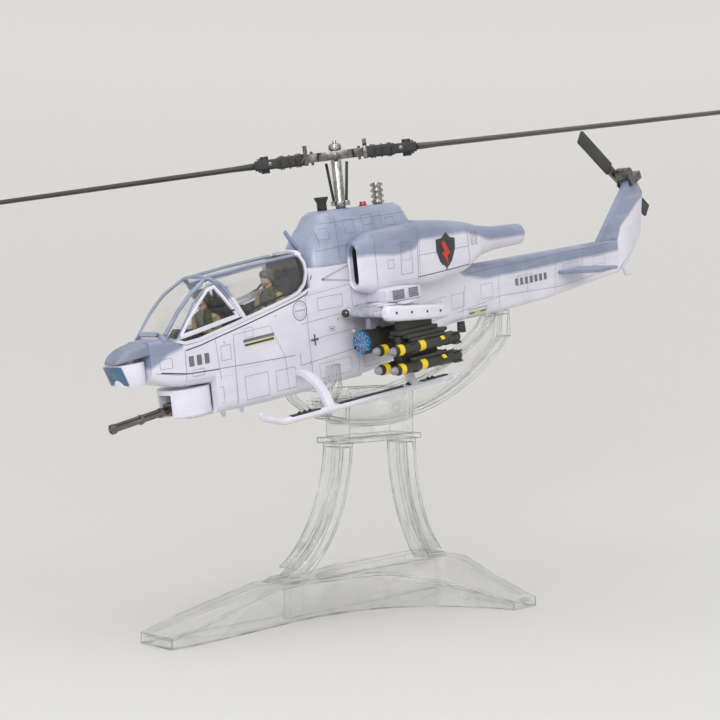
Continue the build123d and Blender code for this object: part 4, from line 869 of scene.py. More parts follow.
def ribbon(shape, spots, width, proud=0.28, deep=0.6, kind=0, closed=False):
    """Raised strip along points of the canopy's surface."""
    rings = []
    for i, p in enumerate(spots):
        before = spots[i - 1] if (i or closed) else p
        after = spots[(i + 1) % len(spots)] if (i < len(spots) - 1 or closed) else p
        _, normal, _, _ = CANOPY_TREE.find_nearest(p)
        if normal.dot(p - Vector((p.x, 0, 34))) < 0:
            normal = -normal
        across = normal.cross((after - before).normalized()).normalized() * width / 2
        up, down = normal * proud, normal * -deep
        rings.append([p + across * 0.8 + up, p - across * 0.8 + up, p - across + up * 0.4,
                      p - across + down,
                      p + across + down, p + across + up * 0.4])
    if closed:
        rings.append(rings[0])
    shape.rings(rings, kind, (not closed, not closed))


def walk(points, step=0.8, closed=False):
    """Outline with points added at even steps."""
    loop = list(points) + ([points[0]] if closed else [])
    spots = []
    for (xa, za), (xb, zb) in zip(loop, loop[1:]):
        count = max(1, round(math.hypot(xb - xa, zb - za) / step))
        spots += [(xa + (xb - xa) * k / count, za + (zb - za) * k / count) for k in range(count)]
    return spots if closed else spots + [loop[-1]]


def laid(points, side, step=0.8, closed=False):
    """Outline laid on one side of the canopy's surface."""
    return [canopy_spot(x, z, side) for x, z in walk(points, step, closed)]


def grown(points, amount):
    """Outline moved outwards from its middle."""
    cx, cz = sum(p[0] for p in points) / len(points), sum(p[1] for p in points) / len(points)
    moved = []
    for x, z in points:
        length = math.hypot(x - cx, z - cz)
        moved.append((x + (x - cx) / length * amount, z + (z - cz) / length * amount))
    return moved


frames = Shape()
for side in SIDES:
    ribbon(frames, laid(((89.6, 33.0), (83.7, 39.3), (78.1, 43.8), (71.0, 47.6)), side), 1.15, 0.16)
    ribbon(frames, laid(((58.8, 33.2), (62.2, 39.2), (66.0, 45.4), (69.6, 48.2)), side), 1.3, 0.16)
    ribbon(frames, laid(((70.4, 48.05), (65.3, 48.5), (52.7, 49.7), (38.3, 50.6), (29.4, 51.1)), side),
           1.0, 0.16)
    ribbon(frames, laid(((89.0, 31.6), (84, 29.6), (78, 30.0), (71, 31.3), (61, 33.2), (50.4, 35.2),
                         (38, 37.7),
                         (34, 38.9), (31, 41.2), (29.2, 44.8), (28.9, 48.0), (29.6,
                                                                              50.8)), side), 1.0, 0.14)
    ribbon(frames, laid(((58.0, 35.6), (50.4, 37.2), (38.6, 39.2), (35, 40.2), (32.2, 42.2), (30.9, 45.2),
                         (30.7, 48.0), (31.4, 50.2)), side), 0.7, 0.12, 0.3, 1)
    ribbon(frames, laid(grown(GUNNER_DOOR if side > 0 else PILOT_DOOR, 0.9), side, closed=True), 0.5,
           0.06, 0.5,
           closed=True)
for x, low, width in ((70.2, 47.4, 1.3), (29.3, 50.6, 1.5)):
    sill, top, _ = blend_table(CANOPY, x)
    start = math.asin(min(1.0, (low - sill) / (top - sill)))
    turns = [start + (math.pi / 2 - start) * k / 16 for k in range(17)]
    arch = [canopy_spot(x, sill + (top - sill) * math.sin(a), 1) for a in turns]
    ribbon(frames, arch + [Vector((p.x, -p.y, p.z)) for p in arch[-2::-1]], width)
base = [canopy_spot(90.3, 30.9 + 2.4 * math.sin(a), 1) for a in [math.pi / 2 * k / 12 for k in range(13)]]
ribbon(frames, base + [Vector((p.x, -p.y, p.z)) for p in base[-2::-1]], 1.4, 0.2)
frames.piece("canopy_frames", "frame", "aircraft", "upper_grey", paints=("black",),
             replaces=("canopy_frame",),
             angle=40)

bulkhead = Shape()
bulkhead.rings([canopy_row(32.0, 1.0), canopy_row(28.4, 1.0)])
bulkhead.piece("cockpit_bulkhead", "cockpit", "aircraft", "cockpit_black", bevel=0.1)

for label, body, points, side in (("gunner", "left_door", GUNNER_DOOR, 1),
                                  ("pilot", "right_door", PILOT_DOOR, -1)):
    rim = Shape()
    ribbon(rim, laid(grown(points, -0.5), side, closed=True), 0.95, 0.14, closed=True)
    cx, cz = points[-1][0] + 3.0 * (1 if side > 0 else -1), points[-1][1] + 2.0
    handle = canopy_spot(cx, cz, side)
    rim.box(handle + Vector((0, side * 0.5, 0)), (2.0, 0.5, 0.5), 1)
    rim.piece(label + "_door_rim", "lower" if side > 0 else "frame", body, "upper_grey", paints=("black",),
              replaces=(label + "_door",), angle=40)

# ---------------------------------------------------------------- stub wings and store racks


def wing_ring(y, front, back, middle, thick):
    """Aerofoil section of a stub wing."""
    points = []
    chord = front - back
    for k in range(40):
        t = 2 * math.pi * k / 40
        along = 0.5 + 0.5 * math.cos(t)
        rise = math.copysign(abs(math.sin(t)) ** 0.8, math.sin(t)) * (0.25 + 0.75 * along ** 0.7)
        points.append((back + chord * along, y, middle + thick / 2 * rise))
    return points


for side, label in ((1, "port"), (-1, "starboard")):
    wing = Shape()
    sections = [(8.0, 15.0, -11.0, 29.2, 5.0), (14.0, 15.6, -10.8, 29.1, 5.0),
                (22.0, 16.6, -10.4, 28.9, 4.8),
                (29.0, 17.4, -10.0, 28.7, 4.4), (31.4, 17.6, -9.9, 28.6, 4.2)]
    wing.rings([wing_ring(side * y, *rest) for y, *rest in sections])
    box = []
    for x, low, high, half in ((-11.6, 24.8, 27.8, 1.2), (-11.0, 24.0, 28.6, 1.8), (-4, 24.5, 29.4, 2.0),
                               (6, 25.4, 30.4, 2.0), (14, 26.2, 31.4, 2.0), (17.2, 26.8, 31.6, 1.8),
                               (18.4, 28.0, 30.6, 1.2)):
        box.append([(x, side * 31.9 + y, z) for y, z in outline(-half, half, low, high, 1.1, 1.1)])
    wing.rings(box, 1)
    wing.lathe([(9.0, 2.2, 0), (12.0, 2.1, 0), (14.6, 1.7, 0), (15.4, 1.45, 0)], 24, (0, side * 12.0, 29.2))
    wing.lathe([(15.3, 1.5, 2), (16.2, 1.35, 2), (16.7, 0.8, 2), (16.8, 0.05, 2)], 24,
               (0, side * 12.0, 29.2))
    for y, x, wide in ((17.0, 4.0, 5.0), (24.6, 9.0, 5.4), (24.6, -3.0, 6.0), (27.0, 2.4, 3.0)):
        wing.box((x, side * y, 31.0 + (x - 4) * 0.02), (wide, 3.6, 0.5), 1)
    for x in (-8.0, -1.0, 7.0, 14.6):
        wing.tube([(x, side * 33.8, 27.6 + x * 0.1), (x, side * 34.05, 27.6 + x * 0.1)], 0.45, 2, 12)
    wing.piece("wing_" + label + "_skin", "wing", "aircraft", "lower_grey", paints=("lower", "visor"),
               replaces=("wing_" + label,), bevel=0.15, angle=35)

racks = Shape()
for side in SIDES:
    racks.box((0, side * 16.5, 24.6), (20, 2.4, 4.4))
    racks.box((6.5, side * 16.5, 22.9), (2.0, 4.2, 1.4), 1)
    racks.box((-5.5, side * 16.5, 22.9), (2.0, 4.2, 1.4), 1)
    racks.box((1.0, side * 29.0, 23.0), (17, 2.4, 6.0), 1)
    racks.box((1.0, side * 29.0, 21.6), (19, 5.6, 1.6), 1)
    for y in (26.0, 32.0):
        racks.box((-1.0, side * y, 20.3), (21, 2.6, 1.3), 1)
racks.piece("store_racks", "wing", "aircraft", "lower_grey", paints=("olive",), replaces=("wing_pylons",),
            bevel=0.4)

# ---------------------------------------------------------------- missiles

MISSILE = ((18.6, 0.05, 1), (18.45, 0.55, 1), (18.0, 0.95, 1), (17.3, 1.3, 1), (16.5, 1.45, 1),
           (16.3, 1.5, 0),
           (15.6, 1.78, 0), (14.9, 1.85, 0), (12.5, 1.88, 2), (11.9, 1.85, 0), (4.4, 1.85, 0), (1.6, 1.88,
                                                                                                2),
           (-10.0, 1.85, 0), (-10.4, 2.05, 0), (-16.2, 2.05, 0), (-16.8, 1.8, 0), (-17.4, 1.5, 0))
for side, label in ((1, "port"), (-1, "starboard")):
    rounds = Shape()
    for y in (25.5, 32.5):
        for z in (16.5, 10.1):
            rounds.lathe(MISSILE, 26, (0, side * y, z))
            for turn in (45, 135, 225, 315):
                spin = Matrix.Rotation(math.radians(turn), 3, "X")
                for fin in (((-11.4, -17.0), (1.8, 2.9)), ((9.6, 6.4), (1.8, 2.4))):
                    (front, back), (low, high) = fin
                    spots = [(front, -0.16, low), (back, -0.16, low), (back, -0.16, high),
                             (front - (high - low) * 1.3, -0.16, high)]
                    spots += [(a, 0.16, c) for a, _, c in spots]
                    spots = [spin @ Vector(s) + Vector((0, side * y, z)) for s in spots]
                    rounds.add(spots, PRISM)
            for turn in (55, -55, 180):
                spin = Matrix.Rotation(math.radians(turn * side), 3, "X")
                spots = [spin @ Vector((x, w, 1.95)) + Vector((0, side * y, z)) for x, w in
                         ((-6.6, -0.7), (-8.6, -0.7), (-8.6, 0.7), (-6.6, 0.7))]
                rounds.add(spots, [[0, 1, 2, 3]], 2)
    rounds.piece("missile_rounds_" + label, "missile", "aircraft", "missile_black",
                 paints=("nose", "yellow"),
                 replaces=("missiles_" + label,), angle=30)

# ---------------------------------------------------------------- seats and crew

SEATS = (("front", "gunner", 62.4, 25.8, 2.6), ("rear", "pilot", 35.8, 28.9, 0.0))


def leaned(shape, pan, forward):
    """Moves the upper body forward from the hips up."""
    shape.points = [(p[0] + forward * min(1.0, max(0.0, (p[2] - pan - 2) / 9)), p[1],
                     p[2]) for p in shape.points]


for place_name, person, x, pan, forward in SEATS:
    chair = Shape()
    chair.box((x + 4.4, 0, pan - 1.2), (9, 8.2, 1.6))
    chair.box((x + 4.4, 0, (pan + 20.5) / 2 - 1), (6.4, 6.4, pan - 22.4))
    lean = Matrix.Rotation(math.radians(-7), 3, "Y")
    chair.box((x - 1.6, 0, pan + 7.4), (1.1, 9.4, 16.4), turn=lean)
    for side in SIDES:
        chair.box((x - 0.2, side * 4.6, pan + 7.6), (2.6, 0.7, 12.0), turn=lean)
        chair.box((x + 3.6, side * 4.9, pan + 3.4), (7.4, 0.8, 1.2))
    chair.box((x - 2.4, 0, pan + 16.6), (1.8, 5.6, 3.4), turn=lean)
    for k in range(5):
        chair.box((x - 0.85 - 0.12 * k, 0, pan + 3.0 + k * 2.6), (0.8, 7.6, 2.1), 1, turn=lean)
    for k in range(3):
        chair.box((x + 1.6 + k * 2.7, 0, pan - 0.25), (2.4, 7.2, 0.9), 1)
    chair.piece("seat_" + place_name + "_visual", "cockpit", "aircraft", "cockpit_black",
                paints=("cushion",),
                replaces=("seat_" + place_name,), bevel=0.3)

    man = Shape()
    trunk = [((x + 3.0, pan + 0.6), (2.6, 3.6)), ((x + 3.0, pan + 3.2), (2.5, 3.3)),
             ((x + 2.9, pan + 5.8), (2.7, 3.8)),
             ((x + 2.7, pan + 8.4), (2.7, 4.5)), ((x + 2.4, pan + 10.2),
                                                  (2.3, 4.6)), ((x + 2.3, pan + 11.4), (1.6, 2.6)),
             ((x + 2.3, pan + 12.6), (1.1, 1.2))]
    man.rings([[(cx + rx * math.cos(t), ry * math.sin(t), cz) for t in spun(20)]
               for (cx, cz), (rx, ry) in trunk])
    for side in SIDES:
        man.tube([(x + 2.6, side * 4.1, pan + 10.2), (x + 2.6, side * 5.0, pan + 9.0),
                  (x + 3.2, side * 5.3, pan + 6.6),
                  (x + 4.0, side * 5.2, pan + 4.8), (x + 6.0, side * 4.6, pan + 4.9), (x + 8.4,
                                                                                       side * 3.8, pan + 5.7)],
                 [1.0, 1.35, 1.3, 1.15, 1.1, 0.85], 1)
        man.ball((x + 9.2, side * 3.5, pan + 6.0), (1.0, 0.8, 0.75), 2, 8)
        man.tube([(x + 3.0, side * 2.0, pan + 1.6), (x + 7.0, side * 2.3, pan + 2.2),
                  (x + 10.8, side * 2.4, pan + 2.1),
                  (x + 11.8, side * 2.4, pan + 0.2), (x + 12.2, side * 2.3, pan - 2.8)],
                 [1.9, 1.75, 1.45, 1.3, 1.1], 1)
        man.tube([(x + 3.6, side * 1.9, pan + 11.2), (x + 5.2, side * 1.9, pan + 9.6),
                  (x + 5.5, side * 1.8, pan + 6.4),
                  (x + 5.0, side * 1.6, pan + 3.4)], 0.32, 3, 6)
        man.box((x + 5.5, side * 1.9, pan + 5.4), (0.9, 1.6, 1.7))
    man.tube([(x + 2.6, 0, pan + 12.0), (x + 2.6, 0, pan + 14.0)], 1.15, 2)
    man.box((x + 5.6, 0, pan + 6.6), (0.5, 1.1, 0.9), 3)

    def face_form(d):
        """Calm, plain face: chin, nose ridge and brow on the front half of the head."""
        q = d.copy()
        if d.x > 0:
            ridge = math.exp(-(d.y / 0.16) ** 2) * math.exp(-((d.z + 0.12) / 0.22) ** 2)
            q.x += 0.20 * ridge
            q.x -= 0.07 * math.exp(-((abs(d.y) - 0.32) / 0.14) ** 2) * math.exp(-((d.z - 0.10) / 0.12) ** 2)
            q.x += 0.06 * math.exp(-(d.y / 0.3) ** 2) * math.exp(-((d.z + 0.78) / 0.16) ** 2)
            q.x += 0.04 * math.exp(-(d.y / 0.22) ** 2) * math.exp(-((d.z + 0.46) / 0.07) ** 2)
        q.y *= 1.0 - 0.22 * max(0.0, -d.z)
        return q

    man.ball((x + 3.2, 0, pan + 15.0), (2.0, 1.62, 2.3), 2, 18, warp=face_form)
    leaned(man, pan, forward)
    man.piece(person + "_body", "camo", "aircraft", "crew_green", paints=("suit", "skin", "cockpit"),
              replaces=(person + "_figure",), angle=60)

    gear = Shape()

    def shell_form(d):
        q = d.copy()
        if d.z < -0.15 and d.x > 0.1:
            q.x *= max(0.25, 1 + (d.z + 0.15) * 1.6)
        q.z = max(q.z, -0.72)
        return q

    gear.ball((x + 2.5, 0, pan + 16.0), (2.75, 2.65, 2.6), 0, 16, warp=shell_form)
    for side in SIDES:
        gear.ball((x + 2.4, side * 2.35, pan + 14.9), (1.15, 0.6, 1.3), 0, 10)
        gear.ball((x + 2.4, side * 2.8, pan + 14.9), (0.7, 0.3, 0.8), 2, 8)
    gear.tube([(x + 4.6, 2.0, pan + 13.7), (x + 5.4, 1.0, pan + 13.5), (x + 5.5, 0.3, pan + 13.5)], 0.16,
              2, 6)
    band = []
    for z in (0.0, 0.6, 1.2, 1.7):
        reach = 2.95 - 0.12 * z * z
        band.append([(x + 2.5 + reach * math.cos(a), reach * 0.93 * math.sin(a), pan + 16.1 + z)
                     for a in [math.radians(-62 + 124 * k / 16) for k in range(17)]])
    gear.rings(band, 1, (False, False), closed=False)
    leaned(gear, pan, forward)
    gear.piece(person + "_helmet", "helmet", "aircraft", "crew_green", paints=("visor", "black"), angle=50)

# ---------------------------------------------------------------- marks and lines laid on the skin


def skin_tree(*objects):
    """Search tree of the finished skins in the helicopter frame."""
    points, faces = [], []
    for obj in objects:
        start = len(points)
        points += [TO_AIRCRAFT @ obj.matrix_world @ v.co / MM for v in obj.data.vertices]
        faces += [[i + start for i in p.vertices] for p in obj.data.polygons]
    return BVHTree.FromPolygons(points, faces)


class Marks:
    """Thin paint laid on a skin, from the side (u, v) = (x, z) or from above (x, y)."""

    def __init__(self, tree, view, lift=0.05):
        self.tree = tree
        self.view = view
        self.lift = lift
        self.shape = Shape()

    def hit(self, u, v):
        """Where a side view or a top view meets the skin."""
        start, way = {"port": ((u, 60, v), (0, -1, 0)), "starboard": ((u, -60, v), (0, 1, 0)),
                      "top": ((u, v, 130), (0, 0, -1))}[self.view]
        spot, normal, _, _ = self.tree.ray_cast(Vector(start), Vector(way))
        if spot is None:
            return None
        if normal.dot(Vector(way)) > 0:
            normal = -normal
        return spot + normal * self.lift

    def line(self, points, width=0.16, kind=0, closed=False, step=1.2):
        """Painted line through points."""
        loop = list(points) + ([points[0]] if closed else [])
        for (ua, va), (ub, vb) in zip(loop, loop[1:]):
            length = math.hypot(ub - ua, vb - va)
            if length < 1e-6:
                continue
            nu, nv = -(vb - va) / length * width / 2, (ub - ua) / length * width / 2
            count = max(1, round(length / step))
            last = None
            for k in range(count + 1):
                u, v = ua + (ub - ua) * k / count, va + (vb - va) * k / count
                pair = (self.hit(u + nu, v + nv), self.hit(u - nu, v - nv))
                if None in pair:
                    last = None
                    continue
                if last and (pair[0] - last[0]).length < 3 * step:
                    self.shape.add([last[0], last[1], pair[1], pair[0]], [[0, 1, 2, 3]], kind)
                last = pair
        return self

    def rect(self, left, low, right, high, width=0.16, kind=0, lean=0.0):
        """Painted outline of a panel."""
        return self.line([(left, low), (right, low), (right + lean, high), (left + lean, high)], width,
                         kind, True)

    def fill(self, points, kind=0, rings=4):
        """Filled outline that can be seen whole from its middle."""
        cu, cv = sum(p[0] for p in points) / len(points), sum(p[1] for p in points) / len(points)
        grid = []
        for r in range(1, rings + 1):
            grid.append([self.hit(cu + (u - cu) * r / rings, cv + (v - cv) * r / rings) for u, v in points])
        middle = self.hit(cu, cv)
        if middle is None or any(p is None for row in grid for p in row):
            return self
        count = len(points)
        for k in range(count):
            n = (k + 1) % count
            self.shape.add([middle, grid[0][k], grid[0][n]], [[0, 1, 2]], kind)
            for r in range(rings - 1):
                self.shape.add([grid[r][k], grid[r + 1][k], grid[r + 1][n], grid[r][n]], [[0, 1, 2, 3]],
                               kind)
        return self

    def disc(self, u, v, radius, kind=0, sides=20, rings=2):
        """Painted dot."""
        return self.fill([(u + radius * math.cos(t), v + radius * math.sin(t)) for t in
                          spun(sides)], kind, rings)

    def bar(self, left, low, right, high, kind=0):
        """Painted block."""
        count = max(2, round(abs(right - left) / 1.2))
        edge = [(left + (right - left) * k / count, low) for k in range(count + 1)]
        return self.fill(edge + [(u, high) for u, _ in edge[::-1]], kind, 2)

    def rivets(self, start, end, pitch=1.1, radius=0.13, kind=0):
        """Row of small dots."""
        length = math.hypot(end[0] - start[0], end[1] - start[1])
        count = max(1, round(length / pitch))
        for k in range(count + 1):
            self.disc(start[0] + (end[0] - start[0]) * k / count,
                      start[1] + (end[1] - start[1]) * k / count, radius,
                      kind, 6, 1)
        return self

    def done(self, name, paint="ink", paints=("dark_ink", "mark", "faint"), body="aircraft"):
        """Makes the piece."""
        if self.shape.faces:
            self.shape.piece(name, paint, body, "black_paint", paints=paints)


body_tree = skin_tree(fuselage, tail)
for side, view in ((1, "port"), (-1, "starboard")):
    m = Marks(body_tree, view)
    m.line([(100.5, 22.4), (94, 21.8), (86.7, 20.3), (73.0, 19.8), (38.9, 18.6)], 0.2)
    m.line([(92.5, 21.8), (84, 20.2), (72, 19.7)], 0.34, 1)
    m.line([(84.4, 27.6), (84.8, 16.8)])
    m.line([(65.0, 28.8), (65.8, 6.8)])
    m.line([(31.6, 37.0), (31.6, 6.6)])
    m.line([(36.4, 19), (36.6, 14.9), (11.1, 16.4), (-44, 20.2)], 0.18)
    m.line([(32.1, 37.2), (8.3, 38.6)], 0.12)
    m.line([(34.6, 28.2), (9.6, 29.6)], 0.12)
    m.line([(65.4, 29.3), (48.9, 29.9), (43.6, 19.2)], 0.12)
    m.line([(31.6, 22.5), (9.0, 23.2), (9.0, 16.6)], 0.12)
    m.line([(9.4, 45.5), (8.6, 8.2)], 0.14)
    m.line([(-22, 33), (-24.5, 11.6)], 0.14)
    m.line([(-24, 26), (-44, 27.4)], 0.12)
    m.line([(-30, 33.4), (-56.5, 35)], 0.12)
    m.line([(8, 45.6), (27.5, 45.8)], 0.12)
    m.line([(22.9, 41.6), (9.4, 45.0), (9.1, 39.7)], 0.7, 3, True)
    m.rect(88.8, 22.8, 92.6, 25.8, 0.14)
    m.rect(66.6, 22.0, 70.6, 26.6, 0.12)
    m.rect(52, 8.0, 62, 15.5, 0.12)
    m.rect(39.5, 8.4, 48.5, 15.0, 0.12)
    m.rect(14.0, 31.6, 26.0, 35.8, 0.12)
    m.disc(17.0, 27.6, 0.3, 2, 8)
    m.disc(46.0, 32.6, 0.25, 2, 8)
    m.disc(69.0, 27.6, 0.25, 2, 8)
    m.bar(28.6, 20.4, 29.4, 24.2, 2)
    m.bar(27.2, 21.9, 30.8, 22.7, 2)
    m.rect(56.4, 27.6, 60.0, 30.6, 0.1)
    m.rect(-56.5, 22.0, -47.5, 27.2, 0.12)
    m.rect(12.5, 9.0, 28.0, 14.0, 0.12)
    m.rect(-18.5, 14.0, -6.0, 22.0, 0.12)
    m.rect(-40.5, 20.6, -31.0, 26.0, 0.12)
    m.rivets((66.2, 7.8), (66.0, 18.6))
    m.rivets((32.4, 8.0), (32.2, 27.4))
    m.rivets((83.8, 18), (67, 17.0))
    m.rivets((-44, 21.2), (-10, 18.4))
    m.line([(61.0, 26.6), (47.4, 27.0)], 1.05, 2)
    m.line([(-57.6, 29.6), (-54.2, 17.2)], 0.14)
    m.line([(-80.5, 36.2), (-79.6, 17.4)], 0.14)
    m.line([(-121.7, 36.0), (-119.0, 18.4)], 0.14)
    m.line([(-51.9, 20.2), (-81.4, 22.8), (-122, 21.4), (-172, 24.0)], 0.13)
    m.line([(-60, 34.0), (-96, 34.3), (-125, 34.8), (-165, 35.0)], 0.2)
    m.line([(-66, 36.0), (-67.5, 33.4)], 0.2)
    m.line([(-100, 33.8), (-99.4, 21.8)], 0.12)
    m.line([(-142, 34.2), (-140.6, 22.4)], 0.12)
    m.rect(-138, 26.0, -127, 30.0, 0.12)
    m.rect(-160, 27.0, -150, 30.6, 0.12)
    m.rivets((-66, 22.9), (-118, 22.6), 1.7)
    m.rivets((-124, 22.8), (-166, 24.8), 1.7)
    m.rivets((-68, 35.2), (-120, 35.6), 2.2)
    m.rect(78.0, 19.0, 82.4, 21.0, 0.12)
    m.rect(71.2, 9.0, 79.0, 14.0, 0.12)
    m.line([(72.4, 29.2), (71.6, 16.0)], 0.13)
    m.line([(43.6, 19.2), (43.0, 8.0)], 0.13)
    m.rivets((61, 6.9), (34, 6.6), 1.5)
    m.rivets((30, 7.2), (-18, 10.4), 1.5)
    m.rivets((30.8, 38.2), (9.4, 39.4), 1.4)
    m.rivets((64, 18.2), (45, 18.4), 1.5)
    m.rect(1.6, 17.0, 6.4, 21.6, 0.12)
    m.rect(-2.0, 9.4, 6.0, 14.4, 0.12)
    m.rect(-104, 25.4, -93, 29.0, 0.12)
    m.rect(-76, 23.2, -68, 28.6, 0.12)
    m.rivets((-81.5, 34), (-81, 19), 1.3)
    m.rivets((-122.6, 33), (-120.4, 20), 1.3)
    m.rect(-58.6, 17.2, -71.2, 20.2, 0.2, 1)
    for u in (83.4, 80.4, 77.4):
        m.bar(u - 1.9, 22.2, u, 25.4, 2)
    for k in range(7):
        m.bar(-93.5 - k * 3.4, 25.4, -91.4 - k * 3.4, 28.2, 2)
    ring = [(math.cos(t), math.sin(t)) for t in spun(24)]
    m.line([(34.6 + 3.2 * u, 32.8 + 3.2 * v) for u, v in ring], 0.28, 2, True, 0.8)
    m.line([(34.6 + 2.3 * u, 32.8 + 2.3 * v) for u, v in ring], 0.2, 3, True, 0.8)
    m.line([(32.2, 32.8), (37.0, 32.8)], 0.5, 3)
    m.rect(19.0, 24.0, 21.8, 25.4, 0.14, 2)
    m.bar(19.5, 24.5, 21.2, 24.9, 2)
    m.done("fuselage_lines_" + view)

    s = Marks(body_tree, view, 0.07)
    s.line([(60.6, 25.9), (47.6, 26.3)], 0.55, 0)
    s.line([(60.6, 25.3), (47.6, 25.7)], 0.65, 1)
    s.line([(60.6, 24.8), (47.6, 25.2)], 0.3, 0)
    s.bar(-58.9, 17.9, -70.9, 19.5, 0)
    s.line([(-59.3, 18.7), (-70.5, 18.8)], 0.5, 1)
    s.done("fuselage_stripes_" + view, "straw", ("dark_ink",))

    n = Marks(skin_tree(nacelle_objects[side]), view)
    n.line([(-20.6, 56), (-18.8, 34.4)], 0.2)
    n.line([(-21.6, 56), (-19.8, 34.4)], 0.12)
    n.line([(-20.3, 44.8), (-49.5, 45.2)], 0.16)
    n.line([(-19.4, 37.3), (-50.5, 38.4)], 0.3, 1)
    n.line([(-49.8, 55), (-50.3, 36)], 0.2)
    n.rect(-16.2, 39.2, -10.3, 50.1, 0.16, lean=-0.6)
    n.rect(-15.4, 44.0, -11.2, 48.9, 0.1, lean=-0.3)
    n.rect(-6.7, 42.0, -3.6, 44.9, 0.14)
    n.disc(-13.0, 46.4, 0.22, 2, 8)
    n.disc(-12.6, 40.6, 0.22, 2, 8)
    n.line([(2.2, 36.0), (2.2, 54.2)], 0.14)
    n.rivets((-3, 37.4), (-18, 37.0), 1.2)
    n.rivets((-21.9, 46.2), (-48.6, 46.6), 1.4)
    for u in (-52.5, -55.5):
        n.line([(u, 45.4), (u - 1.2, 45.4), (u - 1.2, 49.8), (u, 49.8)], 0.26, 2, True)
    n.done("nacelle_lines_" + view)

    e = Marks(skin_tree(nacelle_objects[side]), view, 0.06)
    shield = [(-36.4, 51.6), (-33.4, 49.6), (-30.2, 49.4), (-30.0, 45.2), (-31.8, 41.2), (-35.2, 37.8),
              (-38.8, 41.0), (-41.2, 45.0), (-41.6, 49.0), (-38.6, 49.5)]
    e.fill(shield, 0, 6)
    e.done("nacelle_emblem_base_" + view, "dark_ink", ())
    e = Marks(skin_tree(nacelle_objects[side]), view, 0.1)
    bolt = [(-35.0, 48.6), (-33.2, 48.0), (-34.8, 44.8), (-33.2, 44.2), (-36.6, 39.8), (-36.2, 43.2),
            (-38.0, 43.8)]
    e.fill(bolt, 0, 4)
    e.done("nacelle_emblem_" + view, "crimson", ())

m = Marks(skin_tree(fairing_obj), "port", 0.05)
for view in ("port", "starboard"):
    m.view = view
    m.line([(13.0, 47), (10.6, 61.8)], 0.18)
    m.line([(-12.0, 57), (-12.6, 62.0)], 0.16)
    m.line([(22.5, 51.0), (-30, 53.8)], 0.16)
    m.line([(18.4, 59.8), (-27, 60.2)], 0.13)
    m.line([(20.6, 52.4), (19.2, 59.2)], 0.15)
    m.line([(-2.0, 52.8), (-2.6, 60.2)], 0.15)
    m.rect(-19.0, 56.4, -14.4, 59.2, 0.16)
    m.rivets((21.4, 52.6), (19.9, 58.4), 1.1)
    m.rivets((-1.0, 54.2), (-1.4, 59.8), 1.1)
    m.line([(17.6, 55.2), (16.4, 55.3), (16.4, 56.6), (15.4, 56.7)], 0.22, 3)
    m.line([(5.6, 57.0), (3.8, 57.2)], 0.22, 3)
    m.line([(-4.2, 58.2), (-6.0, 58.4)], 0.22, 3)
    m.rect(15.6, 54.6, 20.2, 58.2, 0.14)
    m.rect(-8.0, 57.6, -2.4, 61.0, 0.14)
    m.rect(2.2, 55.6, 7.2, 60.2, 0.14)
    m.rivets((12.0, 48), (10.2, 60), 1.3)
m.view = "top"
m.rect(4, -3.4, 11, 3.4, 0.14)
m.rect(-24, -3.2, -17, 3.2, 0.14)
m.done("fairing_lines")

# Black line under the canopy's pale sill band.
c = Marks(skin_tree(fuselage), "port", 0.05)
for view in ("port", "starboard"):
    c.view = view
    c.line([(84.0, 27.4), (78, 28.2), (71, 29.6), (61, 31.4), (50.4, 33.4), (36, 36.3), (30.4, 37.9),
            (27.6, 43.6)], 0.38, 0,
           step=0.8)
c.done("sill_line", "dark_ink", ())

# ---------------------------------------------------------------- small parts on the airframe

coolers = Shape()
for side in SIDES:
    rows = []
    for x, low, high, half in ((2.0, 31.4, 35.0, 4.9), (1.4, 30.8, 35.6, 5.2), (-7, 30.6, 35.8, 5.3),
                               (-15.4, 30.4, 35.0, 5.2), (-16.4, 30.8, 34.2, 4.8)):
        rows.append([(x, side * 14.2 + y, z) for y, z in outline(-half, half, low, high, 0.8, 0.8)])
    coolers.rings(rows)
    for left, right in ((-0.2, -7.0), (-8.6, -14.4)):
        wall = side * 19.5
        for low, high in ((30.95, 31.35), (34.65, 35.05)):
            coolers.box(((left + right) / 2, wall, (low + high) / 2),
                        (left - right + 0.8, 0.45, high - low))
        for x in (left, right):
            coolers.box((x, wall, 33.0), (0.5, 0.45, 4.0))
coolers.piece("cooler_boxes", "lower", "aircraft", "lower_grey", bevel=0.12)

grille = Shape()
for side in SIDES:
    for left, right in ((-0.2, -7.0), (-8.6, -14.4)):
        grille.box(((left + right) / 2, side * 19.47, 33.0), (left - right - 0.2, 0.12, 3.7))
        for k in range(7):
            grille.box(((left + right) / 2, side * 19.58, 31.3 + k * 0.55),
                       (left - right - 0.2, 0.14, 0.13), 1)
        count = max(2, round((left - right) / 0.62))
        for k in range(1, count):
            grille.box((right + (left - right) * k / count, side * 19.6, 33.0), (0.13, 0.14, 3.6), 1)
grille.piece("cooler_grilles", "black", "aircraft", "black_paint", paints=("faint",), bevel=0.02)

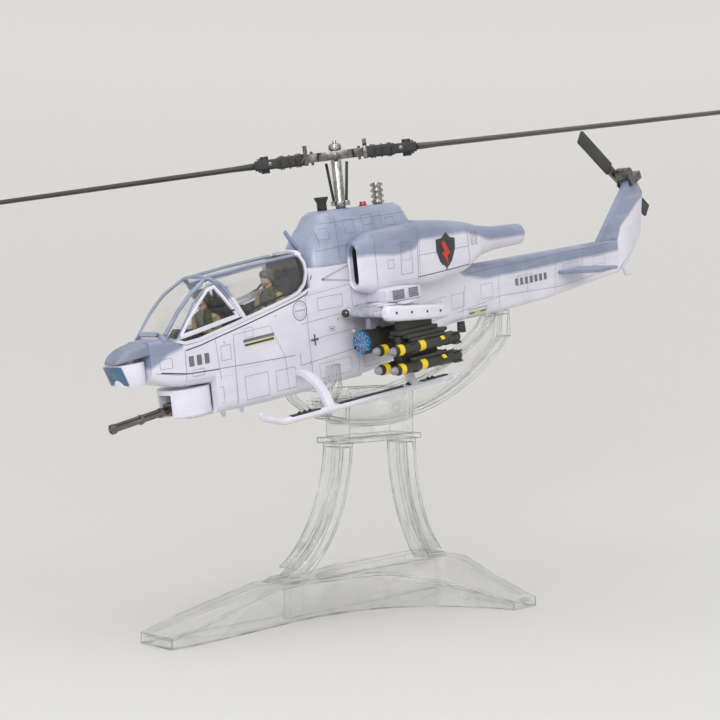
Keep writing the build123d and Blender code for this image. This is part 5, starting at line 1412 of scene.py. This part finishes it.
fit = Shape()
fit.box((-54.8, 4.6, 15.8), (3.4, 1.2, 1.2), 0)
fit.tube([(-54.8, 4.6, 15.4), (-54.8, 4.6, 12.4)], [1.5, 1.7], 0, 16)
for x in (66.5, 58.5):
    fit.add([(x, -0.2, 6.2), (x - 3.4, -0.2, 6.2), (x - 3.0, -0.12, 2.6), (x - 1.8, -0.12, 2.6),
             (x, 0.2, 6.2),
             (x - 3.4, 0.2, 6.2), (x - 3.0, 0.12, 2.6), (x - 1.8, 0.12, 2.6)],
            PRISM, 1)
fit.add([(22.3, -0.7, 51.6), (24.2, -0.7, 52.2), (29.0, -0.35, 58.2), (28.0, -0.35, 59.0),
         (22.3, 0.7, 51.6),
         (24.2, 0.7, 52.2), (29.0, 0.35, 58.2), (28.0, 0.35, 59.0)],
        PRISM, 2)
for side in SIDES:
    fit.tube([(9.8, side * 9.4, 22.5), (9.8, side * 10.4, 22.3)], [0.7, 0.55], 1, 12)
    for x, z in ((63.5, 20.6), (24.0, 17.0), (-34.0, 18.0)):
        fit.tube([(x, side * 9.3, z), (x, side * 9.9, z)], [0.42, 0.3], 1, 10)
fit.piece("antennas", "black", "aircraft", "black_paint", paints=("lower", "upper"), bevel=0.1)

# Light rims round the dark rocket tubes.
POD_Y, POD_Z = 16.5, 19.0
rims = Shape()
for side in SIDES:
    for radius, count, start in ((0.0, 1, 0.0), (1.45, 6, 0.0), (2.85, 12, 0.26)):
        for k in range(count):
            t = start + 2 * math.pi * k / count
            spot = Vector((0, side * POD_Y + radius * math.cos(t), POD_Z + radius * math.sin(t)))
            rims.tube([spot + Vector((14.25, 0, 0)), spot + Vector((14.42, 0, 0))], 0.5, 0, 12)
            rims.tube([spot + Vector((14.3, 0, 0)), spot + Vector((14.46, 0, 0))], 0.33, 1, 12)
rims.piece("rocket_tube_rims", "faint", "aircraft", "pod_face", paints=("black",), bevel=0.02)

# Rotor frame: its azimuth, teeter and the blades' droop, in degrees.
HUB = (Matrix.Translation((0, 0, 82.3)) @ Matrix.Rotation(math.radians(-47), 4, "Z")
       @ Matrix.Rotation(math.radians(1.5), 4, "Y"))
hub = Shape()
for turn_by in (0, 180):
    blade = (HUB @ Matrix.Rotation(math.radians(turn_by), 4, "Z") @ Matrix.Rotation(math.radians(0.8), 4,
                                                                                    "Y"))
    for reach, across in ((8.2, 0.9), (12.6, 1.5), (12.6, -1.5), (18.4, 1.5), (18.4, -1.5), (26.6, 2.2),
                          (26.6, -2.2)):
        hub.tube([blade @ Vector((reach, across, -2.35)), blade @ Vector((reach, across, 2.4))], 0.55, 0, 6)
    for reach in (13.6, 16.0, 19.2):
        band = [blade @ Vector((reach, 3.0 * math.cos(t), 2.15 * math.sin(t)))
                for t in spun(20)]
        hub.tube(band + band[:1], 0.32, 1, 6)
    hub.tube([blade @ Vector((22.6, -4.4, 0)), blade @ Vector((22.6, 4.4, 0))], [0.8, 0.8], 0, 12)
    hub.tube([blade @ Vector((10.3, -2.9, 0.4)), blade @ Vector((10.3, 2.9, 0.4))], 0.75, 0, 12)
    hub.tube([blade @ Vector((10.3, 3.0, 4.6)), blade @ Vector((10.3, 3.4, 1.2)),
              blade @ Vector((12.0, 3.3, -1.2))],
             [0.45, 0.5, 0.4], 0, 8)
hub.tube([HUB @ Vector((0, -3.9, 0)), HUB @ Vector((0, 3.9, 0))], 0.9, 0, 14)
hub.piece("hub_bolts", "gunmetal", NODES["rotor_yoke"]["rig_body"], "hub_metal", paints=("black",),
          bevel=0.06)

SKID_Y = 22.2
tread = Shape()
for side in SIDES:
    for start, end in ((56.0, 43.0), (34.0, 2.0), (-8.0, -22.0)):
        tread.box(((start + end) / 2, side * SKID_Y, 2.2), (start - end, 1.6, 0.5))
    for x in (52.0, 49.6, 47.2, -1.2, -12.0, -14.4):
        tread.tube([(x, side * SKID_Y - 0.9, 2.1), (x, side * SKID_Y, 2.75),
                    (x, side * SKID_Y + 0.9, 2.1)], 0.42, 0, 8)
tread.piece("skid_treads", "black", "aircraft", "black_paint", bevel=0.1)

# ---------------------------------------------------------------- room, light and camera


# Pale floor that sweeps up into the backdrop: distance from the stand and height, in metres.
SWEEP = ((0.0, 0.0), (0.10, 0.0), (0.17, 0.0), (0.26, 0.004), (0.40, 0.018), (0.60, 0.050), (1.0, 0.17),
         (1.6, 0.46),
         (2.4, 0.95), (3.2, 1.6), (3.6, 2.2))
floor_mesh = bpy.data.meshes.new("floor")
spots, faces = [(0, 0, 0)], []
reaches = [0.02 + 3.55 * (k / 60) ** 1.8 for k in range(61)]
fine_sweep = [blend_table(SWEEP, reach) + [reach] for reach in reaches]
for height, reach in fine_sweep:
    spots += [(reach * math.cos(t), reach * math.sin(t), height) for t in spun(96)]
for k in range(96):
    n = (k + 1) % 96
    faces.append((0, 1 + k, 1 + n))
    for r in range(60):
        a, b = 1 + r * 96, 1 + (r + 1) * 96
        faces.append((a + k, b + k, b + n, a + n))
floor_mesh.from_pydata(spots, [], faces)
floor_mesh.shade_smooth()
paper, paper_tree, paper_shader = graph("floor_paper")
paper_spot = node(paper_tree, "TexCoord").outputs["Object"]
paper_fibre = noise(paper_tree, paper_spot, 60, 3.0)
paper_height = node(paper_tree, "SeparateXYZ", (0, paper_spot)).outputs[2]
# Painted light: the paper is darker on the flat floor and lighter up the sweep, to even out how much lamp
# light each part gets.
paper_painted_light_rise = spread(paper_tree, paper_height, 0.0, 0.5, 0.0, 1.0)
paper_tree.links.new(blend_colours(paper_tree, paper_painted_light_rise, rgba((0.66, 0.658, 0.652)),
                                   rgba((0.86, 0.855, 0.845))),
                     paper_shader.inputs["Base Color"])
paper_tree.links.new(spread(paper_tree, paper_fibre, 0.3, 0.7, 0.8, 0.95), paper_shader.inputs["Roughness"])
floor_mesh.materials.append(paper)
floor = bpy.data.objects.new("floor", floor_mesh)
bpy.context.scene.collection.objects.link(floor)

world = bpy.data.worlds.new("studio")
bpy.context.scene.world = world
world.use_nodes = True
world.node_tree.nodes["Background"].inputs[0].default_value = (0.82, 0.81, 0.79, 1)
world.node_tree.nodes["Background"].inputs[1].default_value = 1.0
bpy.context.scene.view_settings.view_transform = "Standard"

camera_data = bpy.data.cameras.new("camera")
camera = bpy.data.objects.new("camera", camera_data)
bpy.context.scene.collection.objects.link(camera)
camera_data.sensor_width = 36
camera_data.lens = 1410.33 / 720 * 36
camera_data.clip_start = 0.01
camera.location = (0.37264, 0.33699, 0.09779)
camera.rotation_euler = Vector((-0.7366, -0.6760, -0.0228)).to_track_quat("-Z", "Y").to_euler()
bpy.context.scene.camera = camera


def lamp(name, spot, target, size, power, colour=(1, 1, 1)):
    """Round soft light aimed at a target."""
    data = bpy.data.lights.new(name, "AREA")
    data.shape = "DISK"
    data.size = size
    data.energy = power
    data.color = colour
    obj = bpy.data.objects.new(name, data)
    bpy.context.scene.collection.objects.link(obj)
    obj.visible_camera = False
    obj.location = spot
    obj.rotation_euler = (Vector(target) - Vector(spot)).to_track_quat("-Z", "Y").to_euler()


lamp("top_softbox", (0.10, 0.15, 1.1), (0, 0, 0.1), 1.0, 3.0)
lamp("front_softbox", (0.95, 0.65, 0.5), (0.04, 0, 0.11), 0.45, 4.2)
lamp("side_softbox", (0.35, 1.05, 0.6), (0.02, 0, 0.11), 0.5, 1.2)
